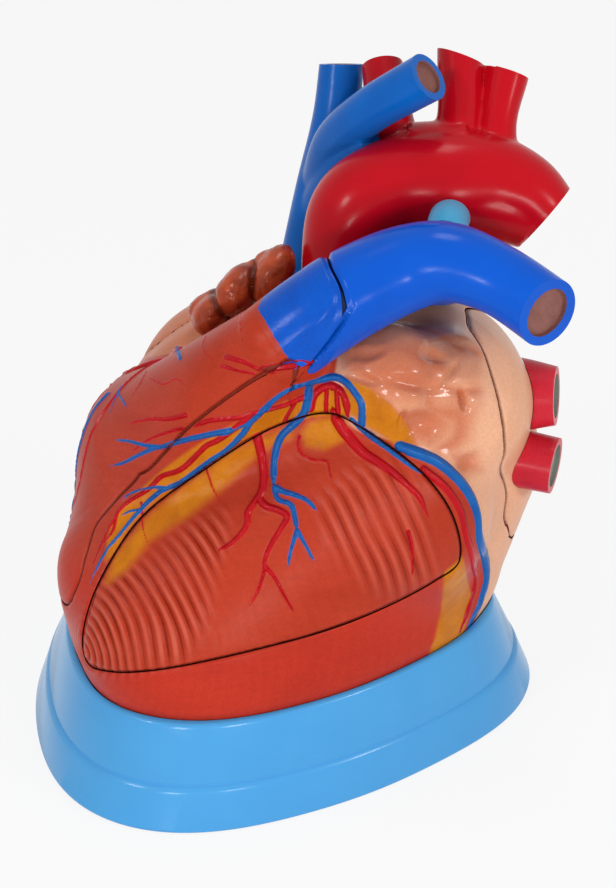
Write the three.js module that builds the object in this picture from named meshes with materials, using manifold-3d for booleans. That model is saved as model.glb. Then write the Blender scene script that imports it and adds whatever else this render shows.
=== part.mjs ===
// Human heart demonstration model, about twice life size, standing in a moulded cradle.
// Millimetres, +Z up. The origin is the middle of the stand's underside. The viewer looks along +Y
// at the front wall of the left ventricle, with +X to the right. The apex points left, to the front
// and down. Four walls lift off along their own directions and show the chambers behind them.
import * as THREE from 'three';
import { mergeVertices } from 'three/addons/utils/BufferGeometryUtils.js';
import Module from 'manifold-3d';

const wasm = await Module();
wasm.setup();

const at = (x, y, z) => new THREE.Vector3(x, y, z);
const along = (x, y, z) => at(x, y, z).normalize();

// Fits
const seatGap = 0.3; // between a piece and what carries it
const seamGap = 0.5; // round a removable wall
const cradleGap = 0.5; // between the heart and its stand

// Stand
const footHeight = 18; // flat under the heart, above the table
const shoulderHeight = 20;
const shoulderStep = 1.2;
const footLean = 6.4;
const rimHeight = 46.4;
const tierLean = 10;
const rimLip = 2.3; // from the fullest part of the heart to the rim's outer edge
const rimRound = 2.2;
const footRound = 2;
const cornerSwell = 0.086; // share of the radius that the three rounded corners stand out
const cornerCrisp = 0.012;
const ovalSwell = 0.036;
const cornerTurn = THREE.MathUtils.degToRad(-119.4);
const ovalTurn = THREE.MathUtils.degToRad(46.9);

// Ventricles
const bulkRadius = 96;
const bulkHeight = 52;
const bulkRise = 78;
const bulkDrop = 36;
const leftApex = at(-48, -64, 72);
const leftBase = at(48, -14, 110);
const leftApexRadius = 31;
const leftBaseRadius = 58;
const rightApex = at(-58, -30, 82);
const rightBase = at(-36, 34, 93);
const rightApexRadius = 34;
const rightBaseRadius = 46;
const rightShoulder = at(-36, 28, 110);
const rightShoulderRadii = at(42, 46, 42);
const conusRoot = at(-42, 4, 122);
const conusTop = at(8, -30, 197);
const conusRootRadius = 40;
const conusTopRadius = 20.5;
const outflowBedRoot = at(14, -8, 150);
const outflowBedTop = at(28, -14, 168);
const outflowBedRootRadius = 28;
const outflowBedTopRadius = 24;

// Atria
const rightAtriumCentre = at(-6, 60, 124);
const rightAtriumRadii = at(54, 46, 48);
const cavalHornTip = at(22, 78, 182);
const cavalHornRadius = 22;
const rightAuricleRoot = at(-33, 36, 146);
const rightAuricleTip = at(-8, 38, 168);
const rightAuricleRootRadius = 18;
const rightAuricleTipRadius = 16;
const rightChamberCentre = at(-11, 66, 126);
const rightChamberRadii = at(29, 32, 27);
const leftAtriumCentre = at(75, 28, 134);
const leftAtriumRadii = at(49, 50, 52);
const leftTailTop = at(85, 26, 104);
const leftTailFoot = at(76, 16, 64);
const leftTailTopRadius = 43;
const leftTailFootRadius = 37;
const leftAuricleRoot = at(86, -2, 152);
const leftAuricleTip = at(56, -22, 174);
const leftAuricleRootRadius = 36;
const leftAuricleTipRadius = 27;

// Walls and chambers
const wallThickness = 11;
const chamberBite = 3; // how far the chambers reach into the removable walls
const leftMuscle = 8;
const rightMuscle = 8;
const septum = 12;
const leftAtrialWall = 8;
const valvePlaneThickness = 12;
const ribWidth = 6; // left on the body between the walls of the two ventricles
const conusLumenRadius = 19;

// Great vessels
const aorticRadius = 20;
const archRadius = 24;
const vesselWall = 5;
const trunkRadius = 20;
const leftPulmonaryRadius = 15.5;
const rightPulmonaryRadius = 13;
const upperCavalRadius = 14;
const brachiocephalicVeinRadius = 10.5;
const lowerCavalRadius = 17;
const rightPulmonaryVeinRadius = 12;
const ligamentRadius = 9;
const endRecess = 2.5; // depth of the painted bore at a cut vessel end
const rimShare = 0.78; // bore radius over vessel radius at a cut end

// Valves and their muscles
const mitralRadius = 19;
const tricuspidRadius = 19;
const leafletThickness = 1.6;
const leafletDepth = 18;
const cuspDepth = 9;
const papillaryRadius = 6.5;
const papillaryLean = 1.2; // how far the muscles stand along the flow, against across it
const chordRadius = 0.9;

// Magnets
const magnetRadius = 3;
const magnetThickness = 3;
const magnetPlay = 0.15; // round a magnet in its pocket
const magnetSink = 0.3; // below the seat it holds

// Smoothness: faces along an icosahedron's edge, and sides of round pieces
const heartFineness = 6;
const coreFineness = 4;
const chamberFineness = 2;
const lobeFineness = 1;
const standSides = 36;
const archSides = 12;
const vesselSides = 10;
const valveSides = 16;
const smallSides = 8;
const cordSides = 4;
const slideStep = 3; // between the places of the core that clear a wall's way off
const slideStations = 10;
const slideRoom = 1.1; // round the core behind a wall, beyond the seat's gap
const outlineSteps = 1.2; // straight runs to each knot of a wall's outline
const sliver = 0.002; // a surface this close to the field's zero is on it

// Fields: each gives a point's distance outside a form, and is negative inside it

const roundCone = (a, b, radiusA, radiusB) => {
  const axis = b.clone().sub(a);
  return (p) => {
    const offset = p.clone().sub(a);
    const share = THREE.MathUtils.clamp(offset.dot(axis) / axis.lengthSq(), 0, 1);
    return offset.addScaledVector(axis, -share).length() - THREE.MathUtils.lerp(radiusA, radiusB, share);
  };
};

const ellipsoid = (centre, radii) => (p) => {
  const offset = p.clone().sub(centre);
  const near = offset.clone().divide(radii).length();
  const far = offset.divide(radii).divide(radii).length();
  return near * (near - 1) / Math.max(far, 1e-9);
};

const roundTriangle = (angle) => 1
  + cornerSwell * Math.cos(3 * (angle - cornerTurn))
  + cornerCrisp * Math.cos(6 * (angle - cornerTurn))
  + ovalSwell * Math.cos(2 * (angle - ovalTurn));

const bulk = (p) => {
  const radius = bulkRadius * roundTriangle(Math.atan2(p.y, p.x));
  const reach = Math.hypot(p.x, p.y);
  const rise = p.z - bulkHeight;
  const height = rise > 0 ? bulkRise : bulkDrop;
  const near = Math.hypot(reach / radius, rise / height);
  const far = Math.hypot(reach / radius ** 2, rise / height ** 2);
  return near * (near - 1) / Math.max(far, 1e-9);
};

const blend = (width, a, b) => (p) => {
  const fa = a(p);
  const fb = b(p);
  const share = THREE.MathUtils.clamp(0.5 + 0.5 * (fb - fa) / width, 0, 1);
  return THREE.MathUtils.lerp(fb, fa, share) - width * share * (1 - share);
};

const inset = (field, depth) => (p) => field(p) + depth;
const outset = (field, depth) => inset(field, -depth);
const both = (...fields) => (p) => Math.max(...fields.map((field) => field(p)));
const clearOf = (field, distance) => (p) => distance - field(p);
const beyond = (normal, point) => (p) => normal.dot(point) - normal.dot(p);
const short = (normal, point) => (p) => normal.dot(p) - normal.dot(point);

// The outer form of the heart

const leftVentricle = roundCone(leftApex, leftBase, leftApexRadius, leftBaseRadius);
const rightCone = roundCone(rightApex, rightBase, rightApexRadius, rightBaseRadius);
const rightVentricle = blend(16, rightCone, ellipsoid(rightShoulder, rightShoulderRadii));
const outflowBed = roundCone(outflowBedRoot, outflowBedTop, outflowBedRootRadius, outflowBedTopRadius);
const conus = blend(14, roundCone(conusRoot, conusTop, conusRootRadius, conusTopRadius), outflowBed);
const ventricles = blend(18, conus, blend(18, rightVentricle, blend(14, bulk, leftVentricle)));
const cavalHorn = roundCone(at(18, 74, 160), cavalHornTip, cavalHornRadius, upperCavalRadius - 1);
const auricleBed = roundCone(
  rightAuricleRoot, rightAuricleTip, rightAuricleRootRadius, rightAuricleTipRadius,
);
const cavalPart = blend(14, ellipsoid(rightAtriumCentre, rightAtriumRadii), cavalHorn);
const rightAtrium = blend(10, cavalPart, auricleBed);
const leftTail = roundCone(leftTailTop, leftTailFoot, leftTailTopRadius, leftTailFootRadius);
const leftAtrium = blend(14, ellipsoid(leftAtriumCentre, leftAtriumRadii), leftTail);
const leftAuricle = roundCone(leftAuricleRoot, leftAuricleTip, leftAuricleRootRadius, leftAuricleTipRadius);
const atria = blend(10, rightAtrium, blend(14, leftAtrium, leftAuricle));
const heart = blend(9, ventricles, atria);
const heartMiddle = at(2, -6, 108);

// The planes between atria and ventricles, and the chambers' middles

const leftUpstream = along(0.76, 0.55, 0.34);
const leftPlanePoint = at(47, 0, 118);
const rightUpstream = along(0.38, 0.69, 0.61);
const rightPlanePoint = at(-17, 45, 116);
const leftVentricleMiddle = at(10, -30, 96);
const rightVentricleMiddle = at(-40, 10, 106);
const leftAtriumMiddle = at(84, 30, 138);
const rightAtriumMiddle = at(-8, 64, 138);
const halfPlane = valvePlaneThickness / 2;

const aorticRootPath = [at(24, -12, 116), at(35, 8, 144), at(41, 22, 170), at(40, 30, 192)];
const aorticLumenRadius = aorticRadius - vesselWall;
const aorticRoot = roundCone(aorticRootPath[0], aorticRootPath[2], aorticLumenRadius, aorticLumenRadius);

const leftVentricleHollow = both(
  inset(leftVentricle, leftMuscle),
  inset(heart, wallThickness - chamberBite),
  inset(short(leftUpstream, leftPlanePoint), halfPlane),
);
const rightVentricleHollow = both(
  inset(rightVentricle, rightMuscle),
  inset(heart, wallThickness - chamberBite),
  clearOf(leftVentricle, septum - leftMuscle),
  inset(short(rightUpstream, rightPlanePoint), halfPlane),
);
const leftAtriumHollow = both(
  inset(ellipsoid(leftAtriumCentre, leftAtriumRadii), leftAtrialWall),
  inset(heart, wallThickness - chamberBite),
  inset(beyond(leftUpstream, leftPlanePoint), halfPlane),
  clearOf(aorticRoot, vesselWall),
);
const rightAtriumHollow = both(
  ellipsoid(rightChamberCentre, rightChamberRadii),
  inset(heart, wallThickness - chamberBite),
  inset(beyond(rightUpstream, rightPlanePoint), halfPlane),
  clearOf(inset(ellipsoid(leftAtriumCentre, leftAtriumRadii), leftAtrialWall), leftAtrialWall),
  clearOf(aorticRoot, vesselWall),
);

// Solids from closed geometry, and geometry from solids

function toSolid(geometry) {
  const bare = geometry.clone();
  bare.deleteAttribute('normal');
  bare.deleteAttribute('uv');
  const merged = mergeVertices(bare, 1e-4);
  return new wasm.Manifold(new wasm.Mesh({
    numProp: 3,
    vertProperties: new Float32Array(merged.attributes.position.array),
    triVerts: new Uint32Array(merged.index.array),
  }));
}

function toGeometry(solid) {
  const mesh = solid.getMesh();
  const geometry = new THREE.BufferGeometry();
  geometry.setAttribute('position', new THREE.BufferAttribute(mesh.vertProperties, 3));
  geometry.setIndex(new THREE.BufferAttribute(mesh.triVerts, 1));
  geometry.computeVertexNormals();
  return geometry;
}

// A ball whose points slide along their rays on to the surface of a field. From outside they stop at
// the outermost surface, and from inside at the nearest one. The finished form can be shifted.
function moulded(field, middle, fineness, reach = 240, shift = at(0, 0, 0)) {
  const ball = mergeVertices(positionsOnly(new THREE.IcosahedronGeometry(1, fineness)), 1e-5);
  const places = ball.attributes.position;
  const ray = new THREE.Vector3();
  for (let i = 0; i < places.count; i += 1) {
    ray.fromBufferAttribute(places, i).normalize();
    let distance = reach;
    for (let step = 0; step < 90; step += 1) {
      const off = field(middle.clone().addScaledVector(ray, distance));
      distance = Math.max(distance - off * 0.85, 1);
      if (Math.abs(off) < sliver) {
        break;
      }
    }
    const point = middle.clone().addScaledVector(ray, distance).add(shift);
    places.setXYZ(i, point.x, point.y, point.z);
  }
  return toSolid(ball);
}

function positionsOnly(geometry) {
  geometry.deleteAttribute('normal');
  geometry.deleteAttribute('uv');
  return geometry;
}

const hollowed = (field, middle) => moulded(field, middle, chamberFineness, 1);

// A round bar along a smooth path, with flat ends square to it.
function bar(path, radii, sides = vesselSides, rings = Math.ceil(1.5 * path.length)) {
  const curve = new THREE.CatmullRomCurve3(path, false, 'centripetal');
  const girth = new THREE.CatmullRomCurve3(radii.map((radius, i) => at(radius, i * 50, 0)));
  const points = [];
  const faces = [];
  const across = new THREE.Vector3(0.31, 0.77, -0.56);
  for (let ring = 0; ring < rings; ring += 1) {
    const share = ring / (rings - 1);
    const middle = curve.getPoint(share);
    const tangent = curve.getTangent(share);
    const radius = girth.getPoint(share).x;
    across.addScaledVector(tangent, -across.dot(tangent)).normalize();
    const up = tangent.clone().cross(across);
    for (let side = 0; side < sides; side += 1) {
      const angle = 2 * Math.PI * side / sides;
      const point = middle.clone().addScaledVector(across, radius * Math.cos(angle));
      points.push(...point.addScaledVector(up, radius * Math.sin(angle)));
      const next = (side + 1) % sides;
      const here = ring * sides;
      if (ring + 1 < rings) {
        faces.push(here + side, here + next, here + sides + next);
        faces.push(here + side, here + sides + next, here + sides + side);
      }
    }
  }
  const first = points.length / 3;
  points.push(...curve.getPoint(0), ...curve.getPoint(1));
  const last = (rings - 1) * sides;
  for (let side = 0; side < sides; side += 1) {
    const next = (side + 1) % sides;
    faces.push(first, next, side, first + 1, last + side, last + next);
  }
  return toSolid(indexed(points, faces));
}

function indexed(points, faces) {
  const geometry = new THREE.BufferGeometry();
  geometry.setAttribute('position', new THREE.Float32BufferAttribute(points, 3));
  geometry.setIndex(faces);
  return geometry;
}

// A ring-shaped skin about +Z: section(angle) gives its closed section there, as [radius, height] pairs.
function skirt(section, sides) {
  const points = [];
  const faces = [];
  const count = section(0).length;
  for (let side = 0; side < sides; side += 1) {
    const angle = 2 * Math.PI * side / sides;
    for (const [radius, height] of section(angle)) {
      points.push(radius * Math.cos(angle), radius * Math.sin(angle), height);
    }
    const here = side * count;
    const there = ((side + 1) % sides) * count;
    for (let i = 0; i < count; i += 1) {
      const next = (i + 1) % count;
      faces.push(here + i, there + next, there + i);
      faces.push(here + i, here + next, there + next);
    }
  }
  return toGeometry(toSolid(indexed(points, faces)));
}

// A frame whose +Z runs along a direction from a point.
function frameAlong(point, direction) {
  const turn = new THREE.Quaternion().setFromUnitVectors(at(0, 0, 1), direction);
  return new THREE.Matrix4().compose(point, turn, at(1, 1, 1));
}

// A round plug from a point along a direction, with length behind and ahead of it.
function plug(point, direction, radius, behind, ahead, sides = vesselSides) {
  const geometry = new THREE.CylinderGeometry(radius, radius, behind + ahead, sides);
  geometry.rotateX(Math.PI / 2);
  geometry.translate(0, 0, (ahead - behind) / 2);
  return toSolid(geometry.applyMatrix4(frameAlong(point, direction)));
}

// The removable walls

// A wall's plane: across runs level, upward rises, and pull is the way the wall comes off.
function pullPlane(pull) {
  const across = at(0, 0, 1).cross(pull).normalize();
  const upward = pull.clone().cross(across);
  return { across, upward, pull };
}

const placeOn = (plane, u, v, depth) => at(0, 0, 0)
  .addScaledVector(plane.across, u)
  .addScaledVector(plane.upward, v)
  .addScaledVector(plane.pull, depth);

const prismReach = 260;

// A prism on a smooth closed outline, from a depth outwards, grown sideways by a margin.
function prism(plane, outline, depth, margin) {
  const knots = outline.map(([u, v]) => at(u, v, 0));
  const curve = new THREE.CatmullRomCurve3(knots, true, 'centripetal');
  const points = curve.getPoints(Math.round(knots.length * outlineSteps)).slice(0, -1);
  const grown = points.map((point, i) => {
    const before = points[(i + points.length - 1) % points.length];
    const after = points[(i + 1) % points.length];
    const run = after.clone().sub(before).normalize();
    return new THREE.Vector2(point.x + run.y * margin, point.y - run.x * margin);
  });
  const geometry = new THREE.ExtrudeGeometry(new THREE.Shape(grown), {
    depth: prismReach - depth,
    bevelEnabled: false,
  });
  const frame = new THREE.Matrix4().makeBasis(plane.across, plane.upward, plane.pull);
  geometry.applyMatrix4(frame.setPosition(placeOn(plane, 0, 0, depth)));
  return toSolid(geometry);
}

// Outlines run anticlockwise as seen from outside, as [across, upward] pairs.
const leftWallPlane = pullPlane(along(0, -0.82, 0.57));
const leftWallOutline = [
  [-76, 6], [-66, 3], [-46, 3.5], [0, 13], [40, 25], [77, 43], [88, 52], [85, 70], [71, 89],
  [45, 108], [30, 115], [8, 110], [-24, 92], [-52, 72], [-67, 50], [-76, 30], [-79, 14],
];
const leftWallDepth = 80;

const rightWallPlane = pullPlane(along(-0.8, -0.25, 0.55));
const rightWallOutline = [
  [-15, 5], [10, 5], [25, 11], [30, 24], [23, 39], [15, 49], [13, 63], [15, 78], [20, 90], [8, 99],
  [-14, 98], [-38, 98], [-60, 88], [-78, 70], [-85, 50], [-82, 34], [-68, 18], [-44, 8],
];
const rightWallDepth = 62;
const conusOutline = [
  [18, 84], [21, 93], [27, 110], [35, 129], [48, 152], [54, 166], [56, 178], [53, 191], [47, 202],
  [30, 208], [10, 200], [4, 176], [-4, 152], [-10, 136], [-22, 120], [-42, 104], [-48, 90], [-14, 80],
];
const conusDepth = 102;

const leftAtriumPlane = pullPlane(along(0.93, -0.1, 0.35));
const leftAtriumOutline = [
  [6, 46], [22, 32], [40, 37], [54, 54], [61, 76], [64, 100], [58, 122], [46, 137], [27, 141],
  [9, 141], [-6, 133], [-14, 122], [-19, 104], [-14, 85], [-2, 67],
];
const leftAtriumDepth = 108;

const rightAtriumPlane = pullPlane(along(-0.45, 0.8, 0.4));
const rightAtriumOutline = [
  [-10, 64], [8, 72], [18, 94], [13, 117], [-4, 129], [-22, 124], [-38, 114], [-52, 103], [-61, 93],
  [-57, 84], [-44, 76], [-26, 67],
];
const rightAtriumDepth = 104;

// Great vessels

const trunkPath = [
  at(8, -30, 197), at(25, -28, 210), at(42, -22, 219), at(64, -16, 227), at(81, -18, 231),
  at(103, -25, 226), at(128, -39, 214),
];
const trunkRadii = [
  trunkRadius, trunkRadius, trunkRadius, trunkRadius - 1, trunkRadius - 2.5, leftPulmonaryRadius,
  leftPulmonaryRadius,
];
const rightPulmonaryPath = [at(66, -14, 223), at(82, 12, 209), at(80, 46, 196), at(56, 92, 192)];
const trunkLumenRadius = trunkRadius - vesselWall;
const outflowPath = [
  conusRoot, conusRoot.clone().lerp(conusTop, 0.35), conusRoot.clone().lerp(conusTop, 0.7), conusTop,
  at(22, -28, 208), at(42, -22, 219), at(60, -17, 226),
];
const outflowRadii = [
  conusLumenRadius, conusLumenRadius, conusLumenRadius - 2, trunkLumenRadius - 1, trunkLumenRadius,
  trunkLumenRadius, trunkLumenRadius - 2,
];
const aorticRootRadii = Array(aorticRootPath.length).fill(aorticLumenRadius);

const archPath = [
  at(41, 25, 172), at(38, 32, 206), at(44, 38, 229), at(62, 42, 239), at(82, 43, 240),
  at(102, 43, 240), at(117, 40, 236), at(128, 36, 227.5),
];
const archRadii = [
  aorticRadius, aorticRadius, archRadius - 2, archRadius - 1.5, archRadius + 1, archRadius - 1.5,
  archRadius - 5, archRadius - 8,
];
const archRings = 12;
const archBranches = [
  { path: [at(66, 52, 240), at(61, 74, 260), at(58, 93, 278)], radii: [11.5, 10.5, 9.5] },
  { path: [at(82, 46, 244), at(85, 62, 266), at(90, 80, 286)], radii: [13, 11, 10] },
  { path: [at(102, 44, 238), at(105, 56, 262), at(109, 68, 282)], radii: [14, 11.5, 10.5] },
];

const upperCavalPath = [at(20, 75, 176), at(27, 85, 217), at(34, 92, 250), at(38, 99, 276)];
const upperCavalRadii = [
  upperCavalRadius, upperCavalRadius - 2, upperCavalRadius - 3, upperCavalRadius - 4,
];
const brachiocephalicVeinPath = [at(28, 84, 220), at(34, 70, 248), at(48, 54, 270), at(74, 42, 292)];
const lowerCavalPath = [at(-2, 70, 112), at(4, 88, 98), at(10, 106, 82)];

const leftSuperiorVein = {
  path: [at(98, 16, 146), at(118, 13, 148), at(134, 10, 149)],
  radii: [20, 17, 13.5],
};
const leftInferiorVein = {
  path: [at(98, 10, 120), at(118, 5, 119), at(134, 0, 118)],
  radii: [14, 13.5, 13],
};
const rightVeinRadii = Array(3).fill(rightPulmonaryVeinRadius);
const rightSuperiorVein = {
  path: [at(62, 62, 152), at(56, 84, 158), at(50, 102, 163)],
  radii: rightVeinRadii,
};
const rightInferiorVein = {
  path: [at(66, 58, 124), at(62, 80, 122), at(56, 100, 119)],
  radii: rightVeinRadii,
};
const pulmonaryVeins = [leftSuperiorVein, leftInferiorVein, rightSuperiorVein, rightInferiorVein];

const ligamentPath = [at(79, -16, 236), at(82, 4, 244), at(85, 28, 236)];
const auricleLobes = [
  { middle: at(-23, 31, 181), radii: at(12, 15, 12) },
  { middle: at(-10, 31, 193), radii: at(12, 15, 13) },
  { middle: at(4, 32, 203), radii: at(12, 15, 13) },
];

// The shallow painted bore at a vessel's cut end.
function endBore(path, radius) {
  const direction = path.at(-1).clone().sub(path.at(-2)).normalize();
  return plug(path.at(-1), direction, radius * rimShare, endRecess, 1);
}

// A place part of the way along a bar, with the way it runs there and its radius.
function station(path, radii, share) {
  const curve = new THREE.CatmullRomCurve3(path, false, 'centripetal');
  const span = share * (radii.length - 1);
  const before = Math.floor(span);
  return {
    point: curve.getPoint(share),
    direction: curve.getTangent(share),
    radius: THREE.MathUtils.lerp(radii[before], radii[before + 1], span - before),
  };
}

// Solids that several pieces share

const outer = moulded(heart, heartMiddle, heartFineness);
const outerSeat = moulded(outset(heart, seatGap), heartMiddle, heartFineness);
const core = moulded(inset(heart, wallThickness), heartMiddle, coreFineness);
const trunk = bar(trunkPath, trunkRadii);
const trunkSeat = bar(trunkPath, trunkRadii.map((radius) => radius + seatGap));
const outflow = bar(outflowPath, outflowRadii);
const aorticOutflow = bar(aorticRootPath, aorticRootRadii);
const arch = bar(archPath, archRadii, archSides, archRings);
const archSeat = bar(archPath, archRadii.map((radius) => radius + seatGap), archSides, archRings);

const spaces = [
  hollowed(leftVentricleHollow, leftVentricleMiddle),
  hollowed(rightVentricleHollow, rightVentricleMiddle),
  hollowed(leftAtriumHollow, leftAtriumMiddle),
  hollowed(rightAtriumHollow, rightAtriumMiddle),
];

// The ring between an atrium and its ventricle: where the flow crosses the plane between them.
function orifice(from, to, normal, planePoint, radius) {
  const direction = to.clone().sub(from).normalize();
  const distance = normal.dot(planePoint.clone().sub(from)) / normal.dot(direction);
  return { point: from.clone().addScaledVector(direction, distance), direction, radius };
}

const mitral = orifice(leftAtriumMiddle, leftVentricleMiddle, leftUpstream, leftPlanePoint, mitralRadius);
const tricuspid = orifice(
  rightAtriumMiddle, rightVentricleMiddle, rightUpstream, rightPlanePoint, tricuspidRadius,
);
const aorticRing = station(aorticRootPath, aorticRootRadii, 0.5);
const pulmonaryRing = station(outflowPath, outflowRadii, 0.65);

const ringBore = ({ point, direction, radius }) => plug(
  point, direction, radius, valvePlaneThickness, valvePlaneThickness, valveSides,
);

// The bore from inside a chamber towards a vessel on its wall.
function inflow(from, to, radius) {
  const run = to.clone().sub(from);
  return plug(from, run.clone().normalize(), radius * rimShare, 0, run.length(), smallSides);
}

const passages = [
  ringBore(mitral),
  ringBore(tricuspid),
  aorticOutflow,
  outflow,
  inflow(rightAtriumMiddle, cavalHornTip, upperCavalRadius),
  inflow(rightAtriumMiddle, lowerCavalPath[1], lowerCavalRadius),
  ...pulmonaryVeins.map(({ path, radii }) => (
    inflow(leftAtriumMiddle.clone().lerp(path[0], 0.5), path[1], radii.at(-1))
  )),
];

// Magnet pairs. Each stands square to the ledge that a wall rests on, one half in the wall.

const ledge = new THREE.Mesh(toGeometry(core));

// Where a line along a wall's pull meets the ledge that the wall rests on.
function ledgeHit(plane, [u, v]) {
  const from = placeOn(plane, u, v, prismReach);
  return new THREE.Raycaster(from, plane.pull.clone().negate()).intersectObject(ledge)[0];
}

function magnetPair(plane, place) {
  const hit = ledgeHit(plane, place);
  const point = hit.point;
  const out = hit.face.normal;
  const sunk = magnetSink + magnetThickness / 2;
  const pocket = magnetSink + magnetThickness + magnetPlay;
  const radius = magnetRadius + magnetPlay;
  return {
    out,
    wallPlace: point.clone().addScaledVector(out, sunk),
    seatPlace: point.clone().addScaledVector(out, -seatGap - sunk),
    wallPocket: plug(point, out, radius, 2, pocket, smallSides),
    seatPocket: plug(point, out, radius, seatGap + pocket, 2, smallSides),
  };
}

// The core with all that lies behind it on a wall's way off, so that the wall can't hook round it.
function backedCore({ pull }, gap, room) {
  const shadows = Array.from({ length: slideStations }, (_, i) => {
    const back = pull.clone().multiplyScalar(-(i + 1) * slideStep);
    return moulded(inset(heart, wallThickness + gap - room), heartMiddle, coreFineness, 240, back);
  });
  const front = moulded(inset(heart, wallThickness + gap), heartMiddle, coreFineness);
  return shadows.reduce((sum, shadow) => sum.add(shadow), front);
}

const removable = {
  left_ventricle: {
    plane: leftWallPlane,
    cuts: [[leftWallOutline, leftWallDepth]],
    magnets: [[-57, 49], [73, 79], [-15, 15], [13, 107]],
  },
  right_ventricle: {
    plane: rightWallPlane,
    cuts: [[rightWallOutline, rightWallDepth], [conusOutline, conusDepth]],
    magnets: [[-57, 23], [1, 91], [-29, 81]],
  },
  left_atrium: {
    plane: leftAtriumPlane,
    cuts: [[leftAtriumOutline, leftAtriumDepth]],
    magnets: [[33, 45], [1, 116]],
  },
  right_atrium: {
    plane: rightAtriumPlane,
    cuts: [[rightAtriumOutline, rightAtriumDepth]],
    magnets: [[2, 84], [2, 106]],
  },
};

for (const wall of Object.values(removable)) {
  wall.tight = wall.cuts
    .map(([outline, depth]) => prism(wall.plane, outline, depth, 0))
    .reduce((a, b) => a.add(b));
  wall.loose = wall.cuts
    .map(([outline, depth]) => prism(wall.plane, outline, depth - seatGap, seamGap))
    .reduce((a, b) => a.add(b));
  wall.pairs = wall.magnets.map((place) => magnetPair(wall.plane, place));
  wall.core = backedCore(wall.plane, 0, slideRoom);
  wall.coreSeat = backedCore(wall.plane, seatGap, 0);
}

// The right ventricle's wall stops short of the left one's, so that a rib stays between them.
const besideLeftWall = (margin) => prism(leftWallPlane, leftWallOutline, rightWallDepth / 2, margin);
const rightWall = removable.right_ventricle;
rightWall.tight = rightWall.tight.subtract(besideLeftWall(ribWidth + seamGap));
rightWall.loose = rightWall.loose.subtract(besideLeftWall(ribWidth));

// Pieces

const without = (solid, ...tools) => tools.reduce((rest, tool) => rest.subtract(tool), solid);

function below(height) {
  const side = 4 * bulkRadius;
  return toSolid(new THREE.BoxGeometry(side, side, side).translate(0, 0, height - side / 2));
}

// The stand: a rounded triangle in two tiers with a fine step between them.
function makeStand() {
  const rimRadius = bulkRadius + rimLip;
  const tierRadius = rimRadius + tierLean;
  const shoulderRadius = tierRadius + shoulderStep;
  const footRadius = shoulderRadius + footLean;
  const profile = [
    [0, 0], [footRadius - footRound, 0], [footRadius - 0.3, footRound],
    [shoulderRadius + 0.6, shoulderHeight - 2], [shoulderRadius - 0.6, shoulderHeight - 0.6],
    [tierRadius, shoulderHeight],
    [rimRadius + 0.6, rimHeight - rimRound], [rimRadius - 0.3, rimHeight - 0.5],
    [rimRadius - rimRound, rimHeight], [0, rimHeight],
  ];
  const points = profile.map(([radius, height]) => new THREE.Vector2(radius, height));
  const turned = new THREE.LatheGeometry(points, standSides).rotateX(Math.PI / 2);
  const places = turned.attributes.position;
  for (let i = 0; i < places.count; i += 1) {
    const swell = roundTriangle(Math.atan2(places.getY(i), places.getX(i)));
    places.setX(i, places.getX(i) * swell);
    places.setY(i, places.getY(i) * swell);
  }
  const resting = moulded(outset(heart, cradleGap), heartMiddle, heartFineness);
  return toSolid(turned).subtract(resting.subtract(below(footHeight - seatGap)));
}

function makeHeartBody() {
  const walls = Object.values(removable);
  const openings = walls.map(({ loose, coreSeat }) => loose.subtract(coreSeat));
  const pockets = walls.flatMap(({ pairs }) => pairs.map(({ seatPocket }) => seatPocket));
  return without(outer, below(footHeight), ...openings, ...spaces, ...passages, ...pockets);
}

function makeWall({ tight, pairs, core: inner }, blank) {
  const pockets = pairs.map(({ wallPocket }) => wallPocket);
  return without(blank.intersect(tight), inner, ...spaces, ...passages, ...pockets);
}

function makeTrunk() {
  const whole = trunk.add(bar(rightPulmonaryPath, Array(4).fill(rightPulmonaryRadius)));
  return without(
    whole,
    outerSeat,
    removable.right_ventricle.loose,
    outflow,
    endBore(trunkPath, leftPulmonaryRadius),
    endBore(rightPulmonaryPath, rightPulmonaryRadius),
  );
}

function makeAorta() {
  const whole = archBranches
    .map(({ path, radii }) => bar(path, radii, smallSides))
    .reduce((sum, branch) => sum.add(branch), arch);
  const bores = archBranches.map(({ path, radii }) => endBore(path, radii.at(-1)));
  return without(whole, outerSeat, aorticOutflow, endBore(archPath, archRadii.at(-1)), ...bores);
}

function makeUpperCava() {
  const vein = bar(brachiocephalicVeinPath, Array(4).fill(brachiocephalicVeinRadius), smallSides);
  return without(
    bar(upperCavalPath, upperCavalRadii).add(vein),
    outerSeat,
    endBore(upperCavalPath, upperCavalRadii.at(-1)),
    endBore(brachiocephalicVeinPath, brachiocephalicVeinRadius),
  );
}

function makeLowerCava() {
  const cava = bar(lowerCavalPath, Array(3).fill(lowerCavalRadius));
  return without(cava, outerSeat, endBore(lowerCavalPath, lowerCavalRadius));
}

function makeVein({ path, radii }) {
  return without(bar(path, radii), outerSeat, endBore(path, radii.at(-1)));
}

function makeLigament() {
  return without(bar(ligamentPath, Array(3).fill(ligamentRadius)), archSeat, trunkSeat);
}

function makeRightAuricle() {
  const lobes = auricleLobes.map(({ middle, radii }) => (
    moulded(ellipsoid(middle, radii), middle, lobeFineness, 2 * radii.y)
  ));
  return without(lobes.reduce((a, b) => a.add(b)), outerSeat, archSeat);
}

// A ring of leaflets about +Z, deepest in the middle of each leaflet.
function makeLeaflets(radius, count) {
  const rows = 3;
  const fitted = radius - seatGap;
  return skirt((angle) => {
    const lobe = Math.abs(Math.sin(count * angle / 2));
    const reach = leafletDepth * (0.5 + 0.5 * lobe);
    const skin = Array.from({ length: rows }, (_, i) => {
      const share = i / (rows - 1);
      return [fitted * (1 - 0.38 * share ** 1.4), reach * share];
    });
    return [...skin.map(([r, h]) => [r - leafletThickness, h]), ...skin.toReversed()];
  }, valveSides);
}

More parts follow.
